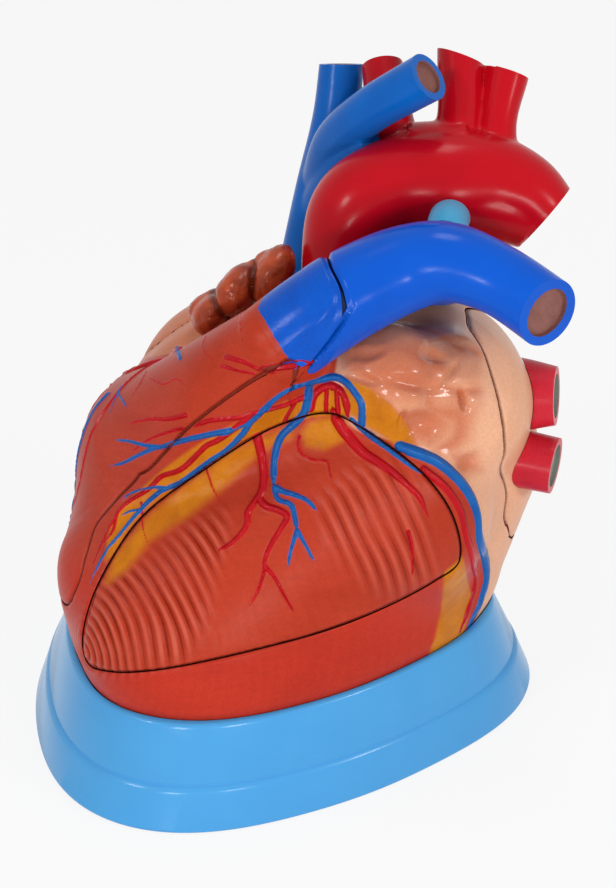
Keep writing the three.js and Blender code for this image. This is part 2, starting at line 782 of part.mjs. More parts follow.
// A ring of three pockets about +Z. Their free edges nearly meet in the middle.
function makeCusps({ radius }) {
  const rows = 3;
  const fitted = radius * Math.cos(Math.PI / vesselSides) - 2 * seatGap;
  return skirt((angle) => {
    const post = Math.abs(Math.cos(1.5 * angle));
    const edge = fitted * (0.2 + 0.6 * post ** 3);
    const skin = Array.from({ length: rows }, (_, i) => {
      const share = i / (rows - 1);
      const sag = Math.sin(Math.PI * share) * 0.4 * (1 - post);
      return [THREE.MathUtils.lerp(fitted, edge, share), cuspDepth * (share - sag)];
    });
    return [...skin.map(([r, h]) => [r, h + leafletThickness]), ...skin.toReversed()].toReversed();
  }, valveSides);
}

// A muscle that stands on a ventricle's wall, with cords to the free edge of its valve. Turn is its
// side of the valve, measured from the side where the removable wall lies.
function makePapillary(hollow, middle, turn, { plane }, { point, direction: flow, radius }) {
  const open = plane.pull.clone().addScaledVector(flow, -plane.pull.dot(flow)).normalize();
  const round = (angle) => open.clone().applyAxisAngle(flow, angle);
  const out = flow.clone().multiplyScalar(papillaryLean).add(round(turn)).normalize();
  let distance = 1;
  for (let step = 0; step < 90; step += 1) {
    distance -= hollow(middle.clone().addScaledVector(out, distance)) * 0.85;
  }
  const root = middle.clone().addScaledVector(out, distance + papillaryRadius);
  const mouth = point.clone().addScaledVector(flow, leafletDepth + seatGap + chordRadius);
  const tip = root.clone().lerp(mouth, 0.5);
  const girths = [papillaryRadius * 1.2, papillaryRadius, papillaryRadius * 0.45];
  const muscle = bar([root, root.clone().lerp(tip, 0.5), tip], girths, smallSides, 3);
  const cords = [-0.4, 0, 0.4].map((offset) => {
    const start = tip.clone().lerp(root, 0.12);
    const end = mouth.clone().addScaledVector(round(turn + offset), radius * 0.52);
    return bar([start, end], [chordRadius, chordRadius], cordSides, 2);
  });
  const seat = hollowed(inset(hollow, seatGap), middle);
  return cords.reduce((sum, cord) => sum.add(cord), muscle.intersect(seat));
}

// The assembly

const muscleRed = 0xc8513a;
const arteryRed = 0xc8101f;
const veinBlue = 0x1a5fc4;
const trunkBlue = 0x1458d2;
const atriumTan = 0xe8a884;
const auricleBrown = 0xb8502c;
const ligamentBlue = 0x76bfe0;
const leafletCream = 0xe9dcc0;
const standBlue = 0x5fabe0;
const magnetGrey = 0x9a9ca0;

function piece(name, geometry, colour, roughness = 0.35, metalness = 0) {
  const material = new THREE.MeshStandardMaterial({ color: colour, roughness, metalness });
  const mesh = new THREE.Mesh(geometry, material);
  mesh.name = name;
  return mesh;
}

const solidPiece = (name, solid, colour, roughness) => piece(name, toGeometry(solid), colour, roughness);

function turned(mesh, point, direction) {
  mesh.position.copy(point);
  mesh.quaternion.setFromUnitVectors(at(0, 0, 1), direction);
  return mesh;
}

function valve(name, geometry, { point, direction }) {
  return turned(piece(name, geometry, leafletCream, 0.5), point, direction);
}

function magnet(name, point, direction) {
  const disc = new THREE.CylinderGeometry(magnetRadius, magnetRadius, magnetThickness, smallSides);
  const whole = toGeometry(toSolid(disc.rotateX(Math.PI / 2)));
  return turned(piece(name, whole, magnetGrey, 0.3, 0.9), point, direction);
}

function group(name, ...members) {
  const whole = new THREE.Group();
  whole.name = name;
  return whole.add(...members);
}

// A removable wall in its group, with its halves of the magnet pairs.
function wallGroup(chamber, blank, colour, ...riders) {
  const wall = removable[chamber];
  return group(
    chamber,
    solidPiece(`${chamber}_wall`, makeWall(wall, blank), colour),
    ...wall.pairs.map(({ wallPlace, out }, i) => magnet(`${chamber}_wall_magnet_${i + 1}`, wallPlace, out)),
    ...riders,
  );
}

const seatMagnets = Object.entries(removable).flatMap(([chamber, { pairs }]) => (
  pairs.map(({ seatPlace, out }, i) => magnet(`${chamber}_seat_magnet_${i + 1}`, seatPlace, out))
));

function papillary(name, degrees, side) {
  const [hollow, middle, wall, ring] = side;
  const turn = THREE.MathUtils.degToRad(degrees);
  return solidPiece(`${name}_papillary_muscle`, makePapillary(hollow, middle, turn, wall, ring), muscleRed);
}

const leftSide = [leftVentricleHollow, leftVentricleMiddle, removable.left_ventricle, mitral];
const rightSide = [rightVentricleHollow, rightVentricleMiddle, removable.right_ventricle, tricuspid];

const model = group(
  'heart_model',
  solidPiece('stand_base', makeStand(), standBlue, 0.25),
  group(
    'heart',
    solidPiece('heart_body', makeHeartBody(), muscleRed),
    solidPiece('right_auricle', makeRightAuricle(), auricleBrown),
    solidPiece('aorta', makeAorta(), arteryRed),
    solidPiece('pulmonary_trunk', makeTrunk(), trunkBlue),
    solidPiece('superior_vena_cava', makeUpperCava(), veinBlue),
    solidPiece('inferior_vena_cava', makeLowerCava(), veinBlue),
    solidPiece('ligamentum_arteriosum', makeLigament(), ligamentBlue),
    solidPiece('right_superior_pulmonary_vein', makeVein(rightSuperiorVein), arteryRed),
    solidPiece('right_inferior_pulmonary_vein', makeVein(rightInferiorVein), arteryRed),
    valve('mitral_valve', makeLeaflets(mitralRadius, 2), mitral),
    valve('tricuspid_valve', makeLeaflets(tricuspidRadius, 3), tricuspid),
    valve('aortic_valve', makeCusps(aorticRing), aorticRing),
    valve('pulmonary_valve', makeCusps(pulmonaryRing), pulmonaryRing),
    papillary('left_front', 130, leftSide),
    papillary('left_back', 230, leftSide),
    papillary('right_front', 105, rightSide),
    papillary('right_septal', 180, rightSide),
    papillary('right_back', 255, rightSide),
    ...seatMagnets,
    wallGroup('left_ventricle', outer, muscleRed),
    wallGroup('right_ventricle', outer.add(trunk), muscleRed),
    wallGroup(
      'left_atrium',
      outer,
      atriumTan,
      solidPiece('left_superior_pulmonary_vein', makeVein(leftSuperiorVein), arteryRed),
      solidPiece('left_inferior_pulmonary_vein', makeVein(leftInferiorVein), arteryRed),
    ),
    wallGroup('right_atrium', outer, atriumTan),
  ),
);

export default model;
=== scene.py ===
"""Looks for the human heart demonstration model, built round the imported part.

Shapes are worked out in millimetres, in the part's own frame, and become metres when a mesh is made.
The heart's skin is one finely meshed form with its relief. The body and the removable walls are cut
from it, so that relief and paint run on across the seams.
"""

import logging
import math
from dataclasses import dataclass
from enum import Enum
from itertools import product
from typing import Callable, Optional, Sequence, Union

import bmesh
import bpy
import numpy as np
from mathutils import Matrix, Vector, kdtree
from mathutils.bvhtree import BVHTree
from numpy.linalg import norm

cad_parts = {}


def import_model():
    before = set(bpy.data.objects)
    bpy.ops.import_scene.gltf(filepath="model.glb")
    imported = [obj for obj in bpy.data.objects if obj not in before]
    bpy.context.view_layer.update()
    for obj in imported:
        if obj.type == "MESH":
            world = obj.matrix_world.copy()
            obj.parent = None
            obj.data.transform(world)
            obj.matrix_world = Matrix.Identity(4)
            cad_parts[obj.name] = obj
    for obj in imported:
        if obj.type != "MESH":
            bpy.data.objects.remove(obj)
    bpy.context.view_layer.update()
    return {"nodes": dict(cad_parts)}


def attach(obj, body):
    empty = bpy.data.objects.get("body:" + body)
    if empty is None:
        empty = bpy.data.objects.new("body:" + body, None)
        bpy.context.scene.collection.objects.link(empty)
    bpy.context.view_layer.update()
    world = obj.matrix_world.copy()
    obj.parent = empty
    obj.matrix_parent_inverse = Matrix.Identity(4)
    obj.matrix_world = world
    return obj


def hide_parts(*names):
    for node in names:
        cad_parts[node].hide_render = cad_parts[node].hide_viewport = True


log = logging.getLogger("heart")

Array = Points = np.ndarray
Field = Callable[[Points], Array]
Thing, Material, Tree = bpy.types.Object, bpy.types.Material, bpy.types.NodeTree
Node, Socket = bpy.types.Node, bpy.types.NodeSocket
Feed = Union[float, tuple, Material, Socket]

MM = 0.001
# How far out the rays start that mould the heart's own form, in millimetres
RAY_START = 170


class Ink(Enum):
    """A painted coronary vessel's kind."""

    ARTERY = "artery"
    VEIN = "vein"


# Forms: each field gives points' distances outside a form, and is negative inside it


def row(x: float, y: float, z: float) -> Array:
    """A point or direction as an array."""
    return np.array([x, y, z], float)


def unit(x: float, y: float, z: float) -> Array:
    """A direction of length one."""
    direction = row(x, y, z)
    return direction / norm(direction)


def round_cone(a: Array, b: Array, radius_a: float, radius_b: float) -> Field:
    """A round bar between two points, with a radius at each.

    Args:
        a: one end.
        b: the other end.
        radius_a: the radius at a.
        radius_b: the radius at b.

    Returns:
        the bar's field.
    """
    axis = b - a

    def field(p: Points) -> Array:
        """The bar's distances."""
        offset = p - a
        share = np.clip(offset @ axis / (axis @ axis), 0, 1)
        radius = radius_a + (radius_b - radius_a) * share
        return norm(offset - share[:, None] * axis, axis=1) - radius

    return field


def ellipsoid(centre: Array, radii: Array) -> Field:
    """An ellipsoid along the axes.

    Args:
        centre: its middle.
        radii: its half sizes.

    Returns:
        its field.
    """

    def field(p: Points) -> Array:
        """The ellipsoid's distances, near enough close to it."""
        offset = (p - centre) / radii
        near = norm(offset, axis=1)
        far = norm(offset / radii, axis=1)
        return near * (near - 1) / np.maximum(far, 1e-9)

    return field


def blend(width: float, a: Field, b: Field) -> Field:
    """Two forms joined by a fillet about as wide as width.

    Args:
        width: the fillet's width.
        a: one form.
        b: the other form.

    Returns:
        the joined form's field.
    """

    def field(p: Points) -> Array:
        """The joined form's distances."""
        fa, fb = a(p), b(p)
        share = np.clip(0.5 + 0.5 * (fb - fa) / width, 0, 1)
        return fb + (fa - fb) * share - width * share * (1 - share)

    return field


def leaning_lobe(centre: tuple, long: float, short: float, deep: float, degrees: float) -> Field:
    """An ellipsoid that leans in the front view.

    Args:
        centre: its middle.
        long: its half length.
        short: its half width.
        deep: its half depth away from the viewer.
        degrees: how far its length is turned up from level.

    Returns:
        the form's field.
    """
    turn = math.radians(degrees)
    right, up, away = row(1, 0, 0), row(0, 0.5, 0.866), row(0, 0.866, -0.5)
    along = right * math.cos(turn) + up * math.sin(turn)
    across = up * math.cos(turn) - right * math.sin(turn)
    axes = np.array([along, across, away])
    upright = ellipsoid(row(0, 0, 0), row(long, short, deep))
    return lambda p: upright((p - row(*centre)) @ axes.T)


def inset(field: Field, depth: float) -> Field:
    """A form moved inwards by a depth."""
    return lambda p: field(p) + depth


def both(*fields: Field) -> Field:
    """What lies in every form."""
    return lambda p: np.max([field(p) for field in fields], axis=0)


def clear_of(field: Field, distance: float) -> Field:
    """What stays a distance away from a form."""
    return lambda p: distance - field(p)


def half_space(normal: Array, point: Array, depth: float) -> Field:
    """What lies behind a plane by at least a depth."""
    return lambda p: p @ normal - point @ normal + depth


def smoothstep(low: float, high: float, x: Array) -> Array:
    """A smooth step from 0 at low to 1 at high."""
    share = np.clip((x - low) / (high - low), 0, 1)
    return share * share * (3 - 2 * share)


LATTICE_PRIMES = np.array([73856093, 19349663, 83492791])


def smooth_noise(p: Points, size: float, seed: int) -> Array:
    """Lattice noise from -1 to 1.

    Args:
        p: the points.
        size: the lattice's step in millimetres.
        seed: picks the pattern.

    Returns:
        one value for each point.
    """
    q = p / size + seed * 17.31
    cell = np.floor(q).astype(np.int64)
    share = q - cell
    share = share ** 3 * (share * (share * 6 - 15) + 10)
    total = np.zeros(len(p))
    for corner in product((0, 1), repeat=3):
        key = np.bitwise_xor.reduce((cell + corner) * LATTICE_PRIMES, axis=1)
        key = (key ^ (key >> 13)) * 1274126177 & 0x7FFFFFFF
        value = (key ^ (key >> 16)) % 20011 / 10005.0 - 1
        total += value * np.where(corner, share, 1 - share).prod(axis=1)
    return total


@dataclass(frozen=True)
class StandSizes:
    """The stand's sizes, in millimetres. Its swells are shares of its radius, and its turns radians."""

    shoulder_step: float = 1.2
    foot_lean: float = 6.4
    rim_height: float = 46.4
    tier_lean: float = 10
    rim_lip: float = 2.3
    corner_swell: float = 0.086
    corner_crisp: float = 0.012
    oval_swell: float = 0.036
    corner_turn: float = math.radians(-119.4)
    oval_turn: float = math.radians(46.9)
    bulk_radius: float = 96
    cradle_gap: float = 0.5
    seat_floor: float = 17.7

    def swell(self, angle: Array) -> Array:
        """How far the rounded triangle reaches at an angle, as a share of its radius."""
        corner, oval = angle - self.corner_turn, angle - self.oval_turn
        corners = self.corner_swell * np.cos(3 * corner) + self.corner_crisp * np.cos(6 * corner)
        return 1 + corners + self.oval_swell * np.cos(2 * oval)


@dataclass(frozen=True)
class HeartSizes:
    """The heart's walls, and how high its lowest, bulkiest part reaches, in millimetres."""

    bulk_height: float = 52
    bulk_above: float = 78
    bulk_below: float = 36
    wall: float = 11
    bite: float = 3
    muscle: float = 8
    septum: float = 12
    half_plane: float = 6
    aortic_lumen: float = 15
    vessel_wall: float = 5


class HeartForm:
    """The heart's outer form, its chambers and the planes between them, as fields."""

    middle = row(2, -6, 108)
    conus_root = row(-42, 4, 122)
    conus_top = row(8, -30, 197)
    left_middle = row(10, -30, 96)
    right_middle = row(-40, 10, 106)
    left_atrial_middle = row(84, 30, 138)
    right_atrial_middle = row(-8, 64, 138)
    left_upstream = unit(0.76, 0.55, 0.34)
    left_plane = row(47, 0, 118)
    right_upstream = unit(0.38, 0.69, 0.61)
    right_plane = row(-17, 45, 116)
    sizes = HeartSizes()

    def __init__(self, stand: StandSizes) -> None:
        """Builds the fields.

        Args:
            stand: the stand, whose rounded triangle the heart's lower part follows.
        """
        self.stand = stand
        self.left = round_cone(row(-48, -64, 72), row(48, -14, 110), 31, 58)
        apical = round_cone(row(-58, -30, 82), row(-36, 34, 93), 34, 46)
        self.right = blend(16, apical, ellipsoid(row(-36, 28, 110), row(42, 46, 42)))
        outflow = round_cone(self.conus_root, self.conus_top, 40, 20.5)
        conus = blend(14, outflow, round_cone(row(14, -8, 150), row(28, -14, 168), 28, 24))
        self.ventricles = blend(18, conus, blend(18, self.right, blend(14, self.bulk, self.left)))
        caval = round_cone(row(18, 74, 160), row(22, 78, 182), 22, 13)
        caval = blend(14, ellipsoid(row(-6, 60, 124), row(54, 46, 48)), caval)
        self.right_atrium = blend(10, caval, round_cone(row(-33, 36, 146), row(-8, 38, 168), 18, 16))
        self.left_ellipsoid = ellipsoid(row(75, 28, 134), row(49, 50, 52))
        left_atrium = blend(14, self.left_ellipsoid, round_cone(row(85, 26, 104), row(76, 16, 64), 43, 37))
        left_atrium = blend(14, left_atrium, round_cone(row(86, -2, 152), row(56, -22, 174), 36, 27))
        self.atria = blend(10, self.right_atrium, left_atrium)
        self.heart = blend(9, self.ventricles, self.atria)
        lumen = self.sizes.aortic_lumen
        self.aortic_root = round_cone(row(24, -12, 116), row(41, 22, 170), lumen, lumen)

    def bulk(self, p: Points) -> Array:
        """The lower part that fills the stand.

        Args:
            p: the points.

        Returns:
            their distances.
        """
        stand, sizes = self.stand, self.sizes
        radius = stand.bulk_radius * stand.swell(np.arctan2(p[:, 1], p[:, 0]))
        reach = np.hypot(p[:, 0], p[:, 1])
        rise = p[:, 2] - sizes.bulk_height
        height = np.where(rise > 0, sizes.bulk_above, sizes.bulk_below)
        near = np.hypot(reach / radius, rise / height)
        far = np.hypot(reach / radius**2, rise / height**2)
        return near * (near - 1) / np.maximum(far, 1e-9)

    def hollows(self) -> dict[str, tuple[Field, Array]]:
        """Each chamber's field and middle."""
        sizes = self.sizes
        shell = inset(self.heart, sizes.wall - sizes.bite)
        left_atrial = inset(self.left_ellipsoid, sizes.muscle)
        root = clear_of(self.aortic_root, sizes.vessel_wall)
        septum = clear_of(self.left, sizes.septum - sizes.muscle)
        below_left = half_space(self.left_upstream, self.left_plane, sizes.half_plane)
        above_left = half_space(-self.left_upstream, self.left_plane, sizes.half_plane)
        below_right = half_space(self.right_upstream, self.right_plane, sizes.half_plane)
        above_right = half_space(-self.right_upstream, self.right_plane, sizes.half_plane)
        left = both(inset(self.left, sizes.muscle), shell, below_left)
        right = both(inset(self.right, sizes.muscle), shell, septum, below_right)
        caval = ellipsoid(row(-11, 66, 126), row(29, 32, 27))
        caval = both(caval, shell, above_right, clear_of(left_atrial, sizes.muscle), root)
        return {
            "left_ventricle": (left, self.left_middle),
            "right_ventricle": (right, self.right_middle),
            "left_atrium": (both(left_atrial, shell, above_left, root), self.left_atrial_middle),
            "right_atrium": (caval, self.right_atrial_middle),
        }


# Curves


def centripetal(knots: Points, closed: bool, shares: Array) -> Points:
    """Points on a centripetal Catmull-Rom curve.

    Args:
        knots: what the curve passes through.
        closed: whether it comes back to its start.
        shares: places along it, from 0 to 1.

    Returns:
        one point for each share.
    """
    count = len(knots)
    if closed:
        padded = knots[np.arange(-1, count + 2) % count]
    else:
        padded = np.vstack([2 * knots[0] - knots[1], knots, 2 * knots[-1] - knots[-2]])
    span = shares * (len(padded) - 3)
    index = np.minimum(np.floor(span).astype(int), len(padded) - 4)
    weight = (span - index)[:, None]
    p0, p1, p2, p3 = (padded[index + step] for step in range(4))
    d0, d1, d2 = (
        np.maximum(norm(b - a, axis=1) ** 0.5, 1e-4)[:, None] for a, b in ((p0, p1), (p1, p2), (p2, p3))
    )
    t1 = ((p1 - p0) / d0 - (p2 - p0) / (d0 + d1) + (p2 - p1) / d1) * d1
    t2 = ((p2 - p1) / d1 - (p3 - p1) / (d1 + d2) + (p3 - p2) / d2) * d1
    square = (3 * p2 - 3 * p1 - 2 * t1 - t2) * weight**2
    return p1 + t1 * weight + square + (2 * p1 - 2 * p2 + t1 + t2) * weight**3


def paired(numbers: Sequence[float]) -> Points:
    """Points without height, from their (u, v) in turn."""
    return np.insert(np.reshape(numbers, (-1, 2)).astype(float), 2, 0, axis=1)


@dataclass(frozen=True)
class Bar:
    """A round bar along a smooth path, with its radius at each knot, cut off square or to a face."""

    knots: tuple[tuple[float, float, float], ...]
    radii: tuple[float, ...]
    face: Optional[tuple[float, float, float]] = None
    set_back: float = 0.0

    def grown(self, margin: float) -> "Bar":
        """The same bar with thicker radii."""
        return Bar(self.knots, tuple(radius + margin for radius in self.radii))

    def middle(self, shares: Array) -> Points:
        """The bar's middle line at each share."""
        return centripetal(np.array(self.knots), False, shares)

    def radius(self, shares: Array) -> Array:
        """The bar's radius at each share."""
        knots = np.array([(radius, i * 50.0, 0.0) for i, radius in enumerate(self.radii)])
        return centripetal(knots, False, shares)[:, 0]

    def end_direction(self) -> Array:
        """The way the bar's last straight run points."""
        return unit(*(np.array(self.knots[-1]) - np.array(self.knots[-2])))

    def end_face(self) -> tuple[Array, Array]:
        """The middle of the bar's cut end, and the way it faces."""
        way = self.end_direction()
        end = np.array(self.knots[-1], float) - way * self.set_back
        return end, unit(*self.face) if self.face else way

    def mesh(self, sides: int = 64, rings: int = 60, overrun: float = 0.0) -> tuple[Points, list]:
        """Vertices and faces of the bar.

        Args:
            sides: sides of its section.
            rings: sections along it.
            overrun: how far it runs on beyond its last knot.

        Returns:
            the vertices and the faces.
        """
        shares = np.linspace(0, 1, rings)
        middles, radii = self.middle(shares), self.radius(shares)
        if overrun:
            middles = np.vstack([middles, middles[-1] + self.end_direction() * overrun])
            radii = np.append(radii, radii[-1])
        tangents = np.gradient(middles, axis=0)
        tangents /= norm(tangents, axis=1)[:, None]
        across = row(0.31, 0.77, -0.56)
        angles = np.linspace(0, 2 * np.pi, sides, endpoint=False)[:, None]
        vertices = []
        for middle, tangent, radius in zip(middles, tangents, radii):
            across = across - tangent * (across @ tangent)
            across /= norm(across)
            up = np.cross(tangent, across)
            vertices.append(middle + radius * (np.cos(angles) * across + np.sin(angles) * up))
        last = (len(middles) - 1) * sides
        caps = [tuple(reversed(range(sides))), tuple(range(last, last + sides))]
        return np.vstack(vertices), ring_faces(len(middles), sides) + caps


# Meshes and cuts


def ring_faces(rings: int, sides: int) -> list[tuple]:
    """The quads between rings of points that follow each other."""
    return [
        (ring + side, ring + after, ring + after + sides, ring + side + sides)
        for ring in range(0, (rings - 1) * sides, sides)
        for side, after in zip(range(sides), [*range(1, sides), 0])
    ]


def placed(name: str, data: bpy.types.ID) -> Thing:
    """A new object in the scene.

    Args:
        name: its name.
        data: its mesh, lamp or camera.

    Returns:
        the object.
    """
    made = bpy.data.objects.new(name, data)
    bpy.context.scene.collection.objects.link(made)
    return made


def read(data: Sequence, name: str, width: int = 1, kind: type = np.float32) -> Array:
    """One value, or a row of them, for each item of a mesh's data.

    Args:
        data: the mesh's items.
        name: the value's name.
        width: numbers for each item.
        kind: the numbers' type.

    Returns:
        the values.
    """
    values = np.empty(len(data) * width, kind)
    data.foreach_get(name, values)
    return values.reshape(-1, width) if width > 1 else values


def paint(made: Thing, name: str, values: Array) -> None:
    """Adds a painted attribute to a mesh's points."""
    layer = made.data.attributes.new(name, "FLOAT", "POINT")
    layer.data.foreach_set("value", np.asarray(values, np.float32))


# What a triangle becomes when its first edge, its first two or all three are halved. Its corners are
# 0 to 2, and its edges' middles 3 to 5
SPLITS = {
    (True, False, False): ([0, 3, 2], [3, 1, 2]),
    (True, True, False): ([3, 1, 4], [0, 3, 4], [0, 4, 2]),
    (True, True, True): ([0, 3, 5], [3, 1, 4], [5, 4, 2], [3, 4, 5]),
}


class Workshop:
    """Makes mesh objects and cuts them."""

    def __init__(self, quick: bool) -> None:
        """Starts a workshop.

        Args:
            quick: whether to mesh coarsely, for trying things.
        """
        self.quick = quick
        self.balls: dict[int, tuple[Points, list]] = {}

    def solid(self, name: str, vertices: Points, faces: Sequence,
            material: Optional[Material]) -> Thing:
        """A mesh object from vertices in millimetres.

        Args:
            name: its name.
            vertices: its vertices.
            faces: each face's vertices.
            material: its material.

        Returns:
            the object.
        """
        mesh = bpy.data.meshes.new(name)
        mesh.from_pydata((np.asarray(vertices) * MM).tolist(), [], [list(face) for face in faces])
        mesh.materials.append(material)
        return placed(name, mesh)

    def ball(self, level: int) -> tuple[Points, list]:
        """Directions and faces of a finely divided icosahedron.

        Args:
            level: how finely it is divided.

        Returns:
            the directions and the faces.
        """
        if level not in self.balls:
            shape = bmesh.new()
            bmesh.ops.create_icosphere(shape, subdivisions=level, radius=1)
            directions = np.array([vertex.co[:] for vertex in shape.verts])
            faces = [[vertex.index for vertex in face.verts] for face in shape.faces]
            shape.free()
            self.balls[level] = (directions / norm(directions, axis=1)[:, None], faces)
        return self.balls[level]

    @staticmethod
    def slide(field: Field, middle: Array, directions: Points, start: float) -> Points:
        """Points that slide along rays from a middle on to a form's surface.

        Args:
            field: the form.
            middle: the form's middle.
            directions: the rays' directions.
            start: how far out they start.

        Returns:
            a point for each ray.
        """
        distance = np.full(len(directions), float(start))
        active = np.arange(len(directions))
        for _ in range(90):
            off = field(middle + directions[active] * distance[active, None])
            distance[active] = np.maximum(distance[active] - off * 0.85, 1)
            active = active[np.abs(off) > 0.004]
            if not len(active):
                break
        return middle + directions * distance[:, None]

    @staticmethod
    def drawn_in(field: Field, p: Points) -> Points:
        """Points moved square on to a form's surface nearby.

        Args:
            field: the form.
            p: the points.

        Returns:
            the moved points.
        """
        for _ in range(2):
            off = field(p)
            slope = np.stack([(field(p + step) - off) / 0.05 for step in np.eye(3) * 0.05], axis=1)
            p = p - slope * (off / np.maximum(np.sum(slope * slope, axis=1), 0.05))[:, None]
        return p

    @staticmethod
    def split_long(p: Points, faces: Array, longest: Field) -> tuple[Points, Array]:
        """Halves a triangle mesh's long edges.

        Args:
            p: the vertices.
            faces: the triangles.
            longest: gives the longest edge that may stay, from edges' middles.

        Returns:
            the vertices and the triangles, the new vertices last.
        """
        ends = np.sort(np.stack([faces, np.roll(faces, -1, axis=1)], axis=2), axis=2).astype(np.int64)
        keys, which = np.unique(ends[..., 0] * len(p) + ends[..., 1], return_inverse=True)
        a, b = p[keys // len(p)], p[keys % len(p)]
        long = norm(a - b, axis=1) > longest((a + b) / 2)
        middles = np.full(len(keys), -1)
        middles[long] = len(p) + np.arange(long.sum())
        of_face = middles[which.ravel()].reshape(-1, 3)
        made = [faces[(of_face < 0).all(axis=1)]]
        for turn in range(3):
            corners = np.hstack([np.roll(faces, -turn, axis=1), np.roll(of_face, -turn, axis=1)])
            for split, triangles in SPLITS.items():
                alike = ((corners[:, 3:] >= 0) == split).all(axis=1) & (turn == 0 or not all(split))
                made += [corners[alike][:, triangle] for triangle in triangles]
        return np.vstack([p, ((a + b) / 2)[long]]), np.vstack(made)

    def moulded(self, name: str, field: Field, middle: Array, level: int, start: float,
            material: Material) -> Thing:
        """A closed form moulded on a ball."""
        directions, faces = self.ball(level - self.quick)
        return self.solid(name, self.slide(field, middle, directions, start), faces, material)

    def bar(self, name: str, bar: Bar, material: Material, overrun: float = 0.0,
            sides: int = 64) -> Thing:
        """A bar as a mesh object."""
        vertices, faces = bar.mesh(sides=sides, overrun=overrun)
        return self.solid(name, vertices, faces, material)

    def plug(self, name: str, point: Array, direction: Array, radius: float, behind: float,
            ahead: float, material: Material) -> Thing:
        """A round plug from a point along a direction.

        Args:
            name: its name.
            point: a point on its axis.
            direction: the way it points.
            radius: its radius.
            behind: how far it reaches back.
            ahead: how far it reaches on.
            material: its material.

        Returns:
            the plug.
        """
        knots = (tuple(point - direction * behind), tuple(point + direction * ahead))
        vertices, faces = Bar(knots, (radius, radius)).mesh(sides=48, rings=2)
        return self.solid(name, vertices, faces, material)

    @staticmethod
    def copy(source: Thing, name: str) -> Thing:
        """A copy of an object with a mesh of its own.

        Args:
            source: the object.
            name: the copy's name.

        Returns:
            the copy.
        """
        made = placed(name, source.data.copy())
        made.data.name = name
        return made

    @staticmethod
    def cut(target: Thing, operation: str, *tools: Thing) -> Thing:
        """Cuts, joins or meets an object with others, which stay as they are.

        Args:
            target: the object.
            operation: what is done to it.
            tools: the others.

        Returns:
            the same object.
        """
        for tool in tools:
            modifier = target.modifiers.new("cut", "BOOLEAN")
            modifier.operation = operation
            modifier.solver = "MANIFOLD"
            modifier.material_mode = "TRANSFER"
            modifier.object = tool
        Workshop.settle(target)
        return target

    @staticmethod
    def settle(target: Thing) -> None:
        """Applies an object's modifiers.

        Args:
            target: the object.
        """
        graph = bpy.context.evaluated_depsgraph_get()
        mesh = bpy.data.meshes.new_from_object(target.evaluated_get(graph))
        target.modifiers.clear()
        old = target.data
        target.data = mesh
        mesh.name = target.name
        bpy.data.meshes.remove(old)

    @staticmethod
    def fused(target: Thing, voxel: float, rounds: int, material: Material) -> None:
        """Melts a joined object's parts into one smooth skin.

        Args:
            target: the object.
            voxel: the new mesh's step in millimetres.
            rounds: how often it is smoothed.
            material: the only one it keeps.
        """
        remesh = target.modifiers.new("fuse", "REMESH")
        remesh.mode = "VOXEL"
        remesh.voxel_size = voxel * MM
        smooth = target.modifiers.new("smooth", "SMOOTH")
        smooth.factor = 0.5
        smooth.iterations = rounds
        Workshop.settle(target)
        target.data.materials.clear()
        target.data.materials.append(material)

    @staticmethod
    def discard(*objects: Thing) -> None:
        """Removes objects that were only tools.

        Args:
            objects: the tools.
        """
        for item in objects:
            mesh = item.data
            bpy.data.objects.remove(item)
            if mesh.users == 0:
                bpy.data.meshes.remove(mesh)

    @staticmethod
    def largest(target: Thing) -> Thing:
        """Keeps only an object's largest connected shell.

        Args:
            target: the object.

        Returns:
            the same object.
        """
        shape = bmesh.new()
        shape.from_mesh(target.data)
        seen, shells = set(), []
        for start in shape.verts:
            if start in seen:
                continue
            seen.add(start)
            shell = [start]
            for vertex in shell:
                fresh = {edge.other_vert(vertex) for edge in vertex.link_edges} - seen
                seen |= fresh
                shell += fresh
            shells.append(shell)
        *spare, _ = sorted(shells, key=len)
        if spare:
            log.info("%s: %d small shells removed", target.name, len(spare))
            bmesh.ops.delete(shape, geom=sum(spare, []), context="VERTS")
            shape.to_mesh(target.data)
        shape.free()
        return target

    @staticmethod
    def finish(made: Thing, body: str, slot: str, *nodes: str, sharp: float = 38) -> None:
        """Shades a piece smoothly, and puts it in the place of the part's nodes.

        Args:
            made: the piece.
            body: the body it rides on.
            slot: its finish's slot; not used.
            nodes: the nodes it replaces.
            sharp: the angle in degrees above which its edges stay sharp.
        """
        made.data.polygons.foreach_set("use_smooth", np.ones(len(made.data.polygons), bool))
        made.data.set_sharp_from_angle(angle=math.radians(sharp))
        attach(made, body)
        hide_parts(*nodes)
        log.info("%s: %d faces", made.name, len(made.data.polygons))

    def floor(self, top: float, material: Material) -> Thing:
        """A wide block that reaches up to a height.

        Args:
            top: its height.
            material: its material.

        Returns:
            the block.
        """
        low, high = row(-300, -300, -300), row(300, 300, top)
        corners = np.where(list(product((False, True), repeat=3)), high, low)
        faces = [(0, 1, 3, 2), (4, 6, 7, 5), (0, 4, 5, 1), (2, 3, 7, 6), (0, 2, 6, 4), (1, 5, 7, 3)]
        return self.solid("floor", corners, faces, material)


# The removable walls


class PullPlane:
    """A wall's plane: across runs level, upward rises, and pull is the way the wall comes off."""

    def __init__(self, pull: Array) -> None:
        """Sets the plane square to a pull."""
        self.pull = pull
        self.across = unit(*np.cross([0, 0, 1], pull))
        self.upward = np.cross(pull, self.across)

    def place(self, flat: Points, depth: float) -> Points:
        """Points at places in the plane, at a depth along the pull."""
        return flat[:, :1] * self.across + flat[:, 1:] * self.upward + depth * self.pull

    def flatten(self, p: Points) -> Points:
        """Places in the plane of points."""
        return np.stack([p @ self.across, p @ self.upward], axis=1)


